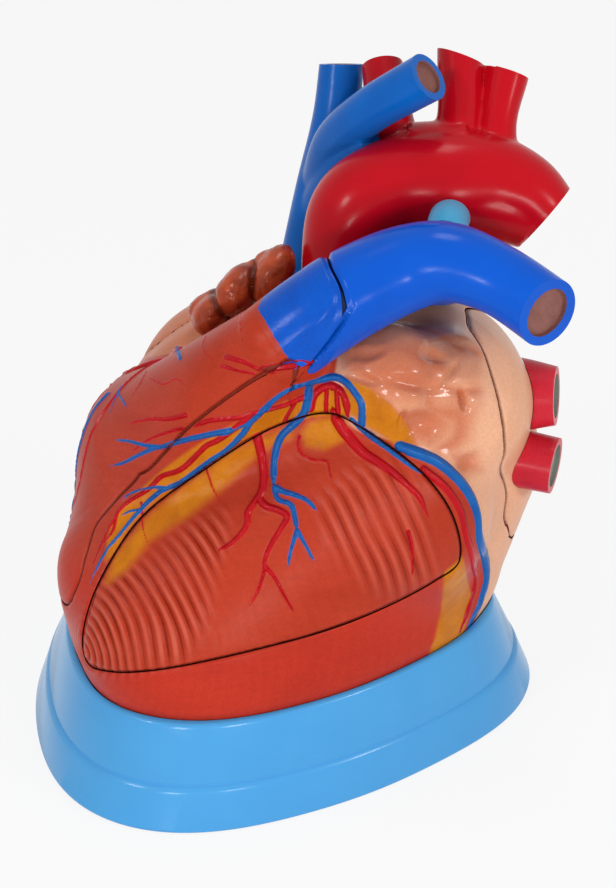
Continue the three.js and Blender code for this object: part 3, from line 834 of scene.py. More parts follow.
def polygon_margin(polygon: Points, places: Points) -> Array:
    """Distance of places outside a closed polygon, negative inside it.

    Args:
        polygon: its corners.
        places: the places.

    Returns:
        a distance for each place.
    """
    nearest = np.full(len(places), 1e9)
    inside = np.zeros(len(places), bool)
    for a, b in zip(polygon, np.roll(polygon, -1, axis=0)):
        run = b - a
        offset = places - a
        share = np.clip(offset @ run / max(run @ run, 1e-12), 0, 1)
        nearest = np.minimum(nearest, norm(offset - share[:, None] * run, axis=1))
        crosses = (a[1] > places[:, 1]) != (b[1] > places[:, 1])
        if run[1]:
            inside ^= crosses & (places[:, 0] < a[0] + (places[:, 1] - a[1]) * run[0] / run[1])
    return np.where(inside, -nearest, nearest)


@dataclass(frozen=True)
class Outline:
    """A wall's closed outline in its plane, as (u, v) in turn, anticlockwise from outside, and its depth."""

    knots: tuple[float, ...]
    depth: float
    reach: float = 260

    def polygon(self, margin: float = 0.0, per_knot: int = 10) -> Points:
        """The smooth outline, grown by a margin.

        Args:
            margin: how much wider it is.
            per_knot: points for each knot.

        Returns:
            the points.
        """
        knots = paired(self.knots)
        shares = np.arange(len(knots) * per_knot) / (len(knots) * per_knot)
        points = centripetal(knots, True, shares)[:, :2]
        run = np.roll(points, -1, axis=0) - np.roll(points, 1, axis=0)
        run /= norm(run, axis=1)[:, None]
        return points + margin * np.stack([run[:, 1], -run[:, 0]], axis=1)

    def prism(self, shop: Workshop, plane: PullPlane, margin: float, lift: float,
            material: Material) -> Thing:
        """The prism that cuts a wall out, from its depth outwards.

        Args:
            shop: makes and cuts meshes.
            plane: the wall's plane.
            margin: how much wider it is.
            lift: how much higher it starts.
            material: its material.

        Returns:
            the prism.
        """
        flat = self.polygon(margin)
        count = len(flat)
        vertices = np.vstack([plane.place(flat, self.depth + lift), plane.place(flat, self.reach)])
        faces = [tuple(reversed(range(count))), tuple(range(count, 2 * count)), *ring_faces(2, count)]
        return shop.solid("prism", vertices, faces, material)


# How deep the cut reaches that keeps the right ventricle's wall clear of the left one's
GUARD_DEPTH = 31


@dataclass(frozen=True)
class WallPlan:
    """A removable wall: its chamber, its pull, its outlines and what is painted on it."""

    chamber: str
    pull: tuple[float, float, float]
    cuts: tuple[Outline, ...]
    beside: Optional[Outline] = None
    rib: float = 6.0
    seam: float = 0.5
    seat: float = 0.3
    ease: float = 0.2

    @property
    def plane(self) -> PullPlane:
        """The plane square to the wall's pull."""
        return PullPlane(unit(*self.pull))

    def margin(self, p: Points) -> Array:
        """Distance of the skin's points outside the wall's outline, negative inside it.

        Args:
            p: the points.

        Returns:
            their distances.
        """
        plane = self.plane
        best = np.full(len(p), 60.0)
        for cut in self.cuts:
            facing = p @ plane.pull > cut.depth - 2
            margin = polygon_margin(cut.polygon(), plane.flatten(p[facing]))
            best[facing] = np.minimum(best[facing], margin)
        if self.beside:
            other = PullPlane(LEFT_PULL)
            facing = (p @ other.pull > GUARD_DEPTH) & (np.abs(best) < 40)
            margin = polygon_margin(self.beside.polygon(), other.flatten(p[facing]))
            best[facing] = np.maximum(best[facing], self.rib + self.seam - margin)
        return best

    def prisms(self, shop: Workshop, loose: bool, material: Material) -> Thing:
        """The wall's own prism, or the looser one that opens the body for it.

        Args:
            shop: makes and cuts meshes.
            loose: whether it opens the body.
            material: its material.

        Returns:
            the prism.
        """
        margin = self.seam + self.ease if loose else -self.ease
        lift = -self.seat if loose else 0.0
        made, *others = [cut.prism(shop, self.plane, margin, lift, material) for cut in self.cuts]
        if others:
            shop.cut(made, "UNION", *others)
        if self.beside:
            rib = self.rib - self.ease if loose else self.rib + self.seam + self.ease
            start = GUARD_DEPTH - self.beside.depth
            guard = self.beside.prism(shop, PullPlane(LEFT_PULL), rib, start, material)
            shop.cut(made, "DIFFERENCE", guard)
            others.append(guard)
        shop.discard(*others)
        return made


LEFT_PULL = unit(0, -0.82, 0.57)
LEFT_OUTLINE = Outline((-76, 6, -66, 3, -46, 3.5, 0, 13, 40, 25, 77, 43, 88, 52, 85, 70, 71, 89, 45, 108, 30,
    115, 8, 110, -24, 92, -52, 72, -67, 50, -76, 30, -79, 14), 80)
WALLS = (
    WallPlan("left_ventricle", (0, -0.82, 0.57), (LEFT_OUTLINE,), ease=0.1),
    WallPlan("right_ventricle", (-0.8, -0.25, 0.55), (Outline((-15, 5, 10, 5, 25, 11, 30, 24, 23, 39, 15, 49,
        13.2, 63, 15, 76, 15, 87, 4, 96, -14, 98, -38, 98, -60, 88, -78, 70, -85, 50, -82, 34, -68, 18, -44,
        8), 62), Outline((9, 70, 16, 79, 21, 93, 27.2, 110.4, 35.6, 129.6, 46.3, 152.6, 50.1, 160.1, 51.3,
        167.1, 52.8, 178.5, 53.6, 187.5, 51.6, 196.8, 46.9, 203, 37.9, 206.3, 26, 207, 10, 200, 4, 176, -4,
        152, -10, 136, -22, 120, -42, 104, -48, 90, -18, 74), 102)), beside=LEFT_OUTLINE, ease=0.05),
    WallPlan("left_atrium", (0.93, -0.1, 0.35), (Outline((7, 46, 21, 29.5, 40, 34, 54, 54, 61, 76, 64, 100,
        58, 122, 46, 137, 27, 141, 9, 141, -6, 133, -14, 122, -18.5, 104, -11.5, 85, 1.6, 68), 108),)),
    WallPlan("right_atrium", (-0.45, 0.8, 0.4), (Outline((-10, 64, 8, 72, 18, 94, 13, 117, -4, 129, -22, 124,
        -38, 114, -52, 103, -61, 93, -57, 84, -44, 76, -26, 67), 104),)),
)


# Views in which relief and paint are laid out


class FrontView:
    """The picture's own view of the heart, in its 616 by 888 frame. Places are (right, down)."""

    focal = 3000.0
    distance = 1385.0
    pitch = math.radians(30)
    target = row(21, 16.5, 120)
    frame_height = 888
    centre = np.array([308.0, 444.0])

    def __init__(self) -> None:
        """Sets the camera's axes and its eye."""
        self.forward = row(0, math.cos(self.pitch), -math.sin(self.pitch))
        self.right = row(1, 0, 0)
        self.up = row(0, math.sin(self.pitch), math.cos(self.pitch))
        self.eye = self.target - self.forward * self.distance

    def rays(self, places: Points) -> tuple[Points, Points]:
        """Where the rays through places start, and the ways they run.

        Args:
            places: the places.

        Returns:
            the starts and the ways.
        """
        offset = np.asarray(places, float) - self.centre
        ways = self.forward * self.focal + offset[:, :1] * self.right - offset[:, 1:] * self.up
        ways /= norm(ways, axis=1)[:, None]
        return np.repeat(self.eye[None], len(ways), axis=0), ways

    def flatten(self, p: Points) -> Points:
        """Places in the frame of points.

        Args:
            p: the points.

        Returns:
            their places.
        """
        offset = p - self.eye
        depth = offset @ self.forward
        return self.centre + self.focal * np.stack([offset @ self.right / depth, -(offset @ self.up) / depth],
            axis=1)

    def facing(self, p: Points, normals: Points) -> Array:
        """How squarely the skin faces the viewer, from -1 to 1.

        Args:
            p: the points.
            normals: the normals there.

        Returns:
            a value for each point.
        """
        ways = p - self.eye
        ways /= norm(ways, axis=1)[:, None]
        return -np.sum(ways * normals, axis=1)


class SideView:
    """A distant view. Places are millimetres (right, up) from the heart's middle."""

    def __init__(self, azimuth: float, height: float) -> None:
        """Sets the view's axes, from an azimuth and a height in degrees."""
        turn, lift = math.radians(azimuth), math.radians(height)
        self.forward = row(-math.sin(turn) * math.cos(lift), math.cos(turn) * math.cos(lift), -math.sin(lift))
        self.right = row(math.cos(turn), math.sin(turn), 0)
        self.up = np.cross(self.right, self.forward)

    def rays(self, places: Points) -> tuple[Points, Points]:
        """Where the rays through places start, and the ways they run.

        Args:
            places: the places.

        Returns:
            the starts and the ways.
        """
        starts = HeartForm.middle - 400 * self.forward + places[:, :1] * self.right + places[:, 1:] * self.up
        return starts, np.repeat(self.forward[None], len(places), axis=0)


def strike(field: Field, starts: Points, ways: Points) -> Points:
    """Where rays first meet a form.

    Args:
        field: the form.
        starts: where the rays start.
        ways: their directions.

    Returns:
        a point for each ray.
    """
    distance = np.zeros(len(starts))
    for _ in range(70):
        distance += field(starts + ways * distance[:, None]) * 0.85
    return starts + ways * np.minimum(distance, 2000)[:, None]


@dataclass(frozen=True)
class Coronary:
    """A coronary vessel on the heart's skin: its knots in a view, as (u, v) in turn, and its widths."""

    ink: Ink
    start: float
    end: float
    knots: tuple[float, ...]
    view: Optional[tuple[float, float]] = None

    def trace(self, heart: Field) -> tuple[Points, Array]:
        """Close points along the vessel on the skin, with its half width at each.

        Args:
            heart: the heart's form.

        Returns:
            the points and the half widths.
        """
        knots = paired(self.knots)
        length = norm(np.diff(knots, axis=0), axis=1).sum()
        shares = np.linspace(0, 1, max(int(length * 1.5), 8))
        flat = centripetal(knots, False, shares)[:, :2]
        view = SideView(*self.view) if self.view else FrontView()
        points = strike(heart, *view.rays(flat))
        taper = self.start + (self.end - self.start) * shares
        tip = np.minimum(1, 0.35 + 6 * (1 - shares))
        return points, taper * tip / 2


A, V = Ink.ARTERY, Ink.VEIN
CORONARIES = (
    # The arch of vessels where the two ventricles and the auricle meet
    Coronary(V, 3.6, 3.2, (362, 424, 362, 405, 355, 392, 346, 382, 334, 377, 316, 381, 301, 385, 282, 394,
        265, 408, 251, 421, 233, 429)),
    Coronary(A, 4.2, 4.2, (310, 408, 313, 396, 320, 389, 330, 386, 340, 390, 346, 400, 348, 416)),
    Coronary(A, 2.2, 2.2, (327, 388, 326, 414)),
    Coronary(A, 2.8, 2.8, (337, 388, 339, 415)),
    # In the groove between the ventricles
    Coronary(V, 3.2, 1.2, (233, 429, 207, 435, 181, 441, 165, 446, 155, 448, 139, 455, 123, 463, 110, 466)),
    Coronary(V, 2.2, 0.9, (160, 447, 144, 445, 128, 441, 115, 440)),
    Coronary(V, 3.4, 1.2, (251, 421, 241, 435, 228, 448, 207, 463, 181, 482, 160, 492, 141, 510, 123, 531,
        107, 550, 97, 568, 90, 584)),
    Coronary(V, 1.9, 0.8, (181, 482, 173, 487, 155, 487, 134, 492, 121, 500)),
    Coronary(V, 1.6, 0.8, (141, 510, 130, 512, 122, 516)),
    Coronary(A, 3.8, 2.2, (306, 396, 288, 403, 272, 408, 253, 413, 240, 417, 207, 421, 194, 427)),
    Coronary(A, 2.8, 2.0, (294, 403, 283, 422)),
    Coronary(A, 3.4, 1.6, (250, 415, 236, 427, 217, 440, 207, 445, 181, 469, 162, 476, 149, 489, 128, 503,
        118, 513, 113, 531, 102, 545)),
    Coronary(A, 1.6, 0.8, (118, 513, 108, 530, 98, 552, 92, 566)),
    # On the left ventricle's wall
    Coronary(V, 4.0, 3.2, (309, 387, 304, 412, 295, 423, 282, 435, 276, 451, 274, 469, 274, 486)),
    Coronary(V, 3.2, 1.6, (274, 486, 282, 491, 295, 495, 308, 501, 317, 511)),
    Coronary(V, 2.6, 2.4, (274, 486, 278, 499, 291, 505, 295, 518, 297, 530)),
    Coronary(V, 2.2, 1.2, (297, 530, 291, 550, 288, 566)),
    Coronary(V, 2.2, 1.2, (297, 530, 305, 544, 314, 561)),
    Coronary(A, 4.4, 4.2, (257, 436, 262, 456, 264, 476, 262, 491, 256, 502)),
    Coronary(A, 4.0, 1.8, (258, 498, 248, 513, 247, 525, 233, 542, 217, 552)),
    Coronary(A, 4.0, 1.2, (258, 498, 266, 506, 278, 510, 287, 516, 282, 527, 272, 543, 265, 559, 264, 571,
        257, 592, 247, 609)),
    Coronary(A, 2.2, 1.0, (265, 566, 275, 578, 285, 597, 294, 612)),
    Coronary(V, 3.0, 2.0, (352, 420, 368, 434, 387, 448, 404, 461, 421, 473)),
    Coronary(A, 6.4, 2.4, (335, 412, 340, 424, 351, 439, 364, 453, 378, 462, 392, 472, 406, 484, 419, 497,
        428, 517)),
    Coronary(A, 1.4, 0.8, (300, 436, 298, 446, 303, 455, 315, 460, 327, 462, 330, 472, 334, 492)),
    Coronary(A, 2.2, 1.2, (408, 531, 412, 548, 412, 576)),
    Coronary(A, 1.2, 0.6, (207, 470, 213, 488, 221, 503)),
    Coronary(A, 1.2, 0.6, (142, 503, 143, 527, 149, 547)),
    # In the groove between the left ventricle and the left atrium
    Coronary(V, 5.6, 6.4, (400, 447, 417, 453, 436, 461, 455, 476, 469, 494, 477, 515, 479, 537, 484, 556,
        486, 577, 480, 601, 471, 623, 462, 645)),
    Coronary(A, 4.2, 4.6, (424, 470, 445, 487, 460, 510, 466, 535, 472, 556, 475, 581, 468, 606, 460, 632)),
    # On the right ventricle's wall
    Coronary(V, 2.6, 2.0, (177, 348, 181, 360)),
    Coronary(V, 1.4, 0.9, (124, 386, 119, 393, 124, 402, 127, 408)),
    Coronary(V, 1.1, 0.6, (119, 393, 114, 402, 110, 414)),
    Coronary(A, 2.6, 1.6, (226, 357, 244, 362, 262, 370, 276, 373)),
    Coronary(A, 2.0, 1.0, (222, 366, 240, 371, 258, 374)),
    Coronary(A, 4.2, 3.4, (262, 370, 280, 367, 300, 364, 318, 359, 334, 350)),
    Coronary(A, 2.6, 1.2, (186, 415, 168, 419, 150, 419, 126, 424)),
    Coronary(A, 1.8, 0.8, (183, 428, 168, 432, 148, 440, 132, 452)),
    Coronary(A, 1.0, 0.5, (241, 312, 240, 326, 243, 345)),
    Coronary(A, 1.0, 0.5, (206, 336, 202, 346, 208, 356, 220, 362)),
    Coronary(A, 1.2, 0.6, (150, 378, 164, 384, 176, 379, 186, 386)),
    Coronary(A, 1.0, 0.5, (146, 372, 140, 384, 130, 398)),
    # On the sides away from the front view
    Coronary(A, 4.6, 3.4, (-14, 64, -34, 50, -52, 34, -68, 14, -84, -8, -94, -34), (-75, 10)),
    Coronary(V, 2.6, 1.6, (-34, 30, -30, 8, -34, -12, -28, -32, -32, -56), (-75, 10)),
    Coronary(A, 2.6, 1.2, (-34, 50, -22, 26, -18, 0, -22, -26), (-75, 10)),
    Coronary(A, 2.2, 1.0, (-52, 34, -46, 6, -44, -22, -48, -50), (-75, 10)),
    Coronary(V, 2.2, 1.0, (-70, 4, -62, -16, -64, -46), (-75, 10)),
    Coronary(A, 3.8, 3.0, (70, 8, 44, -6, 14, -10, -16, -8, -44, -14, -72, -30), (180, 0)),
    Coronary(V, 6.4, 5.2, (76, 2, 46, -14, 14, -18, -16, -16, -46, -22, -78, -38), (180, 0)),
    Coronary(A, 3.0, 1.6, (14, -10, 10, -26, 14, -42, 8, -60), (180, 0)),
    Coronary(V, 3.4, 1.8, (20, -18, 20, -32, 24, -46, 20, -62), (180, 0)),
    Coronary(V, 2.4, 1.4, (-46, -22, -42, -36, -46, -60), (180, 0)),
    Coronary(A, 2.2, 1.2, (-30, -10, -28, -30, -34, -56), (180, 0)),
    Coronary(A, 2.2, 1.2, (46, -8, 52, -30, 48, -56), (180, 0)),
)

# Fat, as areas of the front view: how softly each ends, its strength, and its corners in the frame
FAT = ((7, 1.0, (296, 424, 262, 438, 233, 449, 190, 482, 150, 514, 112, 560, 107, 583, 126, 571, 149, 541,
    190, 515, 232, 480, 256, 456, 274, 444, 290, 438)), (5, 1.0, (301, 432, 310, 422, 330, 417, 348, 424, 344,
    440, 324, 450, 306, 446)), (2, 1.0, (114, 518, 140, 490, 165, 468, 190, 450, 215, 434, 238, 422, 262, 411,
    284, 402, 300, 398, 298, 416, 275, 426, 240, 442, 207, 464, 176, 488, 145, 510, 124, 536, 112, 556, 104,
    562, 108, 536)), (2, 1.0, (298, 402, 312, 390, 330, 385, 348, 390, 352, 416, 331, 416, 313, 417, 298,
    420)), (3, 1.0, (346, 376, 372, 388, 392, 404, 410, 428, 420, 452, 436, 466, 404, 450, 366, 426, 350, 414,
    344, 392)), (1.5, 1.0, (444, 572, 462, 556, 472, 600, 462, 640, 424, 668, 434, 640, 441, 610)))
# Ribs of muscle, as such areas, whose strength is their share of the full height
RIBS = ((15, 1.0, (80, 660, 86, 620, 98, 590, 120, 566, 156, 550, 196, 520, 226, 510, 226, 540, 216, 580, 204,
    620, 184, 660, 110, 674)), (15, 0.7, (318, 500, 345, 474, 392, 456, 412, 486, 428, 530, 438, 574, 400,
    594, 372, 590, 340, 560, 322, 530)))
# What the left atrium's paint covers beyond the groove, and the warmer blushes, as such areas
TAN = (396, 444, 417, 449, 438, 457, 457, 473, 471, 492, 479, 515, 482, 537, 487, 556, 489, 577, 483, 601,
    474, 623, 466, 650, 580, 650, 580, 420, 470, 425, 430, 436)
BLUSH = ((14, 1.0, (120, 400, 136, 336, 170, 280, 215, 290, 205, 335, 176, 358)), (16, 1.0, (342, 356, 352,
    340, 380, 338, 440, 346, 449, 368, 436, 394, 410, 398, 380, 395, 352, 380)), (12, 1.0, (398, 414, 440,
    406, 448, 426, 430, 444, 405, 440)), (10, 1.0, (452, 455, 475, 452, 480, 470, 462, 478)))
# Hollows in the auricle: middle and half sizes in the frame, turn in degrees, depth in millimetres
DENTS = ((464, 400, 5, 13, -12, 4.0), (420, 424, 22, 15, -18, 3.4), (402, 420, 5, 12, 20, 2.2), (412, 384, 30,
    9, 12, 2.2), (368, 380, 16, 6, 20, 1.8), (368, 354, 18, 8, -10, 1.6), (432, 356, 16, 8, 14, 1.6), (466,
    462, 12, 8, -30, 1.8), (452, 372, 5, 16, 30, 1.6))
# What the auricle covers in the frame, and the heart's apex there
AURICLE = (342, 345, 360, 330, 400, 318, 470, 326, 482, 350, 482, 400, 472, 440, 450, 456, 424, 446, 404, 424,
    388, 402, 362, 384, 344, 366)
APEX = (86, 652)
# Where the left ventricle's seam stands open beside the apex
AGAPE = (70, 600, 96, 596, 98, 668, 74, 668)
# The ends of the blue paint's edge on the outflow tract
PAINT_EDGE = ((256.5, 305.0), (287.0, 356.0))


class Relief:
    """The relief and the paint of the heart's skin."""

    def __init__(self, form: HeartForm) -> None:
        """Traces the coronary vessels on a heart's form."""
        self.form = form
        self.view = FrontView()
        self.apex = strike(form.heart, *self.view.rays(np.array([APEX])))[0]
        self.traces = {}
        for ink in Ink:
            traced = [coronary.trace(form.heart) for coronary in CORONARIES if coronary.ink is ink]
            points = np.vstack([points for points, _ in traced])
            widths = np.concatenate([widths for _, widths in traced])
            tree = kdtree.KDTree(len(points))
            for i, point in enumerate(points):
                tree.insert(point, i)
            tree.balance()
            self.traces[ink] = (tree, widths)

    def vessel(self, p: Points, ink: Ink) -> tuple[Array, Array]:
        """How far points are inside the nearest vessel's edge, and that vessel's half width.

        Args:
            p: the points.
            ink: the kind of vessel.

        Returns:
            the depths inside and the half widths.
        """
        tree, widths = self.traces[ink]
        found = [tree.find(point) for point in p]
        half = widths[[index for _, index, _ in found]]
        return half - np.array([distance for _, _, distance in found]), half

    def area(self, flat: Points, seen: Array, polygon: Sequence, softness: float) -> Array:
        """How much of an area of the front view covers each point, from 0 to 1.

        Args:
            flat: the points' places in the front view.
            seen: which points face the viewer.
            polygon: the area's corners.
            softness: how softly it ends, in pixels.

        Returns:
            a share for each point.
        """
        cover = np.zeros(len(flat))
        corners = np.reshape(polygon, (-1, 2)).astype(float)
        cover[seen] = 1 - smoothstep(-softness, softness, polygon_margin(corners, flat[seen]))
        return cover

    def areas(self, flat: Points, seen: Array, plans: Sequence) -> Array:
        """The strongest of several areas at each point, each as (softness, share, corners)."""
        covers = [share * self.area(flat, seen, corners, softness) for softness, share, corners in plans]
        return np.max(covers, axis=0)

    @staticmethod
    def along_skin(values: Array, p: Points, edges: Array) -> Array:
        """Turns distances in a plane into distances on the skin, by how fast they change along its edges.

        Args:
            values: the distances.
            p: the points.
            edges: pairs of neighbouring points.

        Returns:
            the distances on the skin.
        """
        a, b = edges.T
        steps = np.abs(values[a] - values[b]) / np.maximum(norm(p[a] - p[b], axis=1), 1e-6)
        steps[np.abs(values[a] - values[b]) > 8] = 1
        slope = np.zeros(len(p))
        np.maximum.at(slope, a, steps)
        np.maximum.at(slope, b, steps)
        return values / np.clip(slope, 0.1, 1)

    def lay(self, p: Points, normals: Points, edges: Array) -> tuple[Array, dict[str, Array]]:
        """Works out the skin's relief and paint.

        Args:
            p: the smooth skin's points.
            normals: the skin's normals there.
            edges: pairs of neighbouring points.

        Returns:
            how far each point stands out, and the painted attributes.
        """
        flat = self.view.flatten(p)
        seen = self.view.facing(p, normals) > -0.05
        artery, artery_half = self.vessel(p, Ink.ARTERY)
        vein, vein_half = self.vessel(p, Ink.VEIN)
        atrial = smoothstep(-1.2, 1.2, self.form.ventricles(p) - self.form.atria(p))
        atrial = np.maximum(atrial, self.area(flat, seen, TAN, 1.5))
        auricle = self.area(flat, seen, AURICLE, 9)
        fat, ribbed, blush = (self.areas(flat, seen, plans) for plans in (FAT, RIBS, BLUSH))
        reach = norm(p - self.apex, axis=1)
        ladder = np.arange(0.0, 300.0, 0.5)
        phase = np.interp(reach, ladder, np.cumsum(0.5 / (4.5 + 1.1 * smoothstep(60, 120, ladder))))
        phase = phase + 0.3 * smooth_noise(p, 26, 3)
        ribbed = np.maximum(ribbed, 0.03)
        ribbed *= (0.8 + 0.35 * smooth_noise(p, 15, 5)) * (1 - atrial) * (1 - 0.8 * fat)
        ribbed *= 1 - smoothstep(150, 175, p[:, 2])
        ribs = ribbed * 0.8 * (0.5 - 0.5 * np.cos(2 * np.pi * phase))
        seams = np.full(len(p), 60.0)
        for wall in WALLS:
            seams = np.minimum(seams, self.along_skin(np.abs(wall.margin(p) - 0.25), p, edges))
        lumps = np.abs(smooth_noise(p + 5 * smooth_noise(p, 20, 8)[:, None], 19, 11))
        folds = auricle * (2.6 * lumps - 0.8 + 0.25 * smooth_noise(p, 7, 12)) - 1.25 * self.dents(flat, seen)
        folds *= smoothstep(1.5, 7, seams) * smoothstep(322, 346, flat[:, 1])
        beads = fat * (0.35 + 0.3 * smooth_noise(p, 4.5, 21))
        height = ribs + folds + beads + 0.25 * smooth_noise(p, 24, 30)
        round_artery = smoothstep(-0.3, 1, artery / artery_half)
        round_vein = smoothstep(-0.3, 1, vein / vein_half)
        height += np.maximum(round_artery * (0.3 + 0.45 * artery_half), round_vein * (0.4 + 0.45 * vein_half))
        agape = self.area(flat, seen, AGAPE, 4)
        lip = 2.0 + 1.2 * agape
        height -= (1.3 + 1.3 * agape) * np.clip(1 - seams / lip, 0, 1) ** 2
        height = np.where(p[:, 2] < 52, np.minimum(height, 0) * smoothstep(40, 52, p[:, 2]), height)
        above = smoothstep(48, 56, p[:, 2])
        height = np.minimum(height, 0) + np.maximum(height, 0) * above
        blue = np.minimum(self.conus(self.form, p), self.near_trunk(self.form, p))
        # The seam value below masks the painted shade along the seams, and the fold value the painted shade
        # in the auricle's creases
        inks = {"artery": np.clip(artery / 8 + 0.5, 0, 1), "vein": np.clip(vein / 8 + 0.5, 0, 1), "fat": fat,
            "atrial": atrial, "auricle": auricle, "blush": blush, "fold": np.clip(lumps, 0, 1),
            "ribbed": np.clip(ribbed, 0, 1), "phase": phase, "seam": np.clip(1 - seams / 6, 0, 1),
            "conus": np.clip(blue / 8 + 0.5, 0, 1)}
        return height, inks

    @staticmethod
    def near_trunk(form: HeartForm, p: Points) -> Array:
        """How far points are within reach of the trunk's paint.

        Args:
            form: the heart's form.
            p: the points.

        Returns:
            a value for each point.
        """
        axis = unit(*(form.conus_top - form.conus_root))
        offset = p - form.conus_root
        return 24 - norm(offset - (offset @ axis)[:, None] * axis, axis=1)

    @staticmethod
    def dents(flat: Points, seen: Array) -> Array:
        """How deep the auricle's hollows are at each point.

        Args:
            flat: the points' places in the front view.
            seen: which points face the viewer.

        Returns:
            a depth for each point.
        """
        depth = np.zeros(len(flat))
        for u, v, half_u, half_v, degrees, deep in DENTS:
            turn = math.radians(degrees)
            right, down = (flat - [u, v]).T
            along = (right * math.cos(turn) + down * math.sin(turn)) / half_u
            across = (down * math.cos(turn) - right * math.sin(turn)) / half_v
            depth += deep * (1 - smoothstep(0.1, 1.25, np.hypot(along, across)))
        return depth * seen

    @staticmethod
    def conus(form: HeartForm, p: Points) -> Array:
        """How far points are beyond the blue paint's edge, which is straight in the front view.

        Args:
            form: the heart's form.
            p: the points.

        Returns:
            a distance for each point.
        """
        view = FrontView()
        _, (high, low) = view.rays(np.array(PAINT_EDGE))
        axis = unit(*(form.conus_top - form.conus_root))
        return np.minimum((p - view.eye) @ unit(*np.cross(low, high)), (p - form.conus_root) @ axis - 108)


# Finishes


def linear(code: str) -> tuple[float, float, float, float]:
    """A colour as Blender takes it, from its six-digit code."""
    parts = [int(code[i : i + 2], 16) / 255 for i in (0, 2, 4)]
    return (*(part / 12.92 if part <= 0.04045 else ((part + 0.055) / 1.055) ** 2.4 for part in parts), 1.0)


@dataclass(frozen=True)
class Finish:
    """A painted or plain surface: its colours, its gloss and its grain."""

    colour: str
    deep: str
    roughness: float = 0.34
    coat: float = 0.03
    specular: float = 0.12
    metallic: float = 0.0
    mottle: float = 0.5
    mottle_size: float = 24.0
    grain: float = 0.06
    grain_size: float = 260.0
    streak: float = 0.0
    # A colour painted into creases, as painted shade
    crease: str = ""
    fleck: float = 0.05


class NodeSheet:
    """Adds nodes to a tree and joins them."""

    def __init__(self, tree: Tree) -> None:
        """Takes the tree to add to."""
        self.tree = tree

    def add(self, kind: str, settings: Optional[dict] = None, **inputs: Feed) -> Node:
        """Adds a node.

        Args:
            kind: the node's type.
            settings: its properties.
            inputs: socket values or sockets to join, by name with underscores for spaces.

        Returns:
            the node.
        """
        node = self.tree.nodes.new(kind)
        for key, value in (settings or {}).items():
            setattr(node, key, value)
        for key, value in inputs.items():
            socket = node.inputs[int(key[1:])] if key[0] == "_" else node.inputs[key.replace("_", " ")]
            if isinstance(value, Socket):
                self.tree.links.new(value, socket)
            else:
                socket.default_value = value
        return node

    def mix(self, share: Feed, a: Feed, b: Feed) -> Socket:
        """Mixes two colours."""
        return self.add("ShaderNodeMix", {"data_type": "RGBA"}, _0=share, _6=a, _7=b).outputs[2]

    def maths(self, operation: str, a: Feed, b: Feed = 0.0) -> Socket:
        """One sum on two values."""
        return self.add("ShaderNodeMath", {"operation": operation}, _0=a, _1=b).outputs[0]

    def times(self, a: Feed, b: Feed) -> Socket:
        """The product of two values."""
        return self.maths("MULTIPLY", a, b)

    def plus(self, a: Feed, b: Feed) -> Socket:
        """The sum of two values."""
        return self.maths("ADD", a, b)

    def toned(self, colour: Feed, tone: Feed) -> Socket:
        """A colour made lighter or darker."""
        return self.add("ShaderNodeHueSaturation", Value=tone, Color=colour).outputs[0]

    def noise(self, scale: Feed, detail: float = 2.0, distortion: float = 0.0,
            place: Optional[Socket] = None) -> Socket:
        """Noise over the object's own coordinates, or over those given.

        Args:
            scale: how fine it is.
            detail: its octaves.
            distortion: how bent it is.
            place: the coordinates.

        Returns:
            its value.
        """
        if place is None:
            place = self.add("ShaderNodeTexCoord").outputs["Object"]
        node = self.add("ShaderNodeTexNoise", Vector=place, Scale=scale, Detail=detail, Distortion=distortion)
        return node.outputs["Fac"]

    def ramp(self, value: Feed, low: Feed, high: Feed, to_low: float = 0.0,
            to_high: float = 1.0) -> Socket:
        """A smooth step of a value."""
        node = self.add("ShaderNodeMapRange", {"interpolation_type": "SMOOTHSTEP"}, Value=value, From_Min=low,
            From_Max=high, To_Min=to_low, To_Max=to_high)
        return node.outputs[0]

    def attribute(self, name: str) -> Socket:
        """A painted attribute's value."""
        return self.add("ShaderNodeAttribute", {"attribute_name": name}).outputs["Fac"]


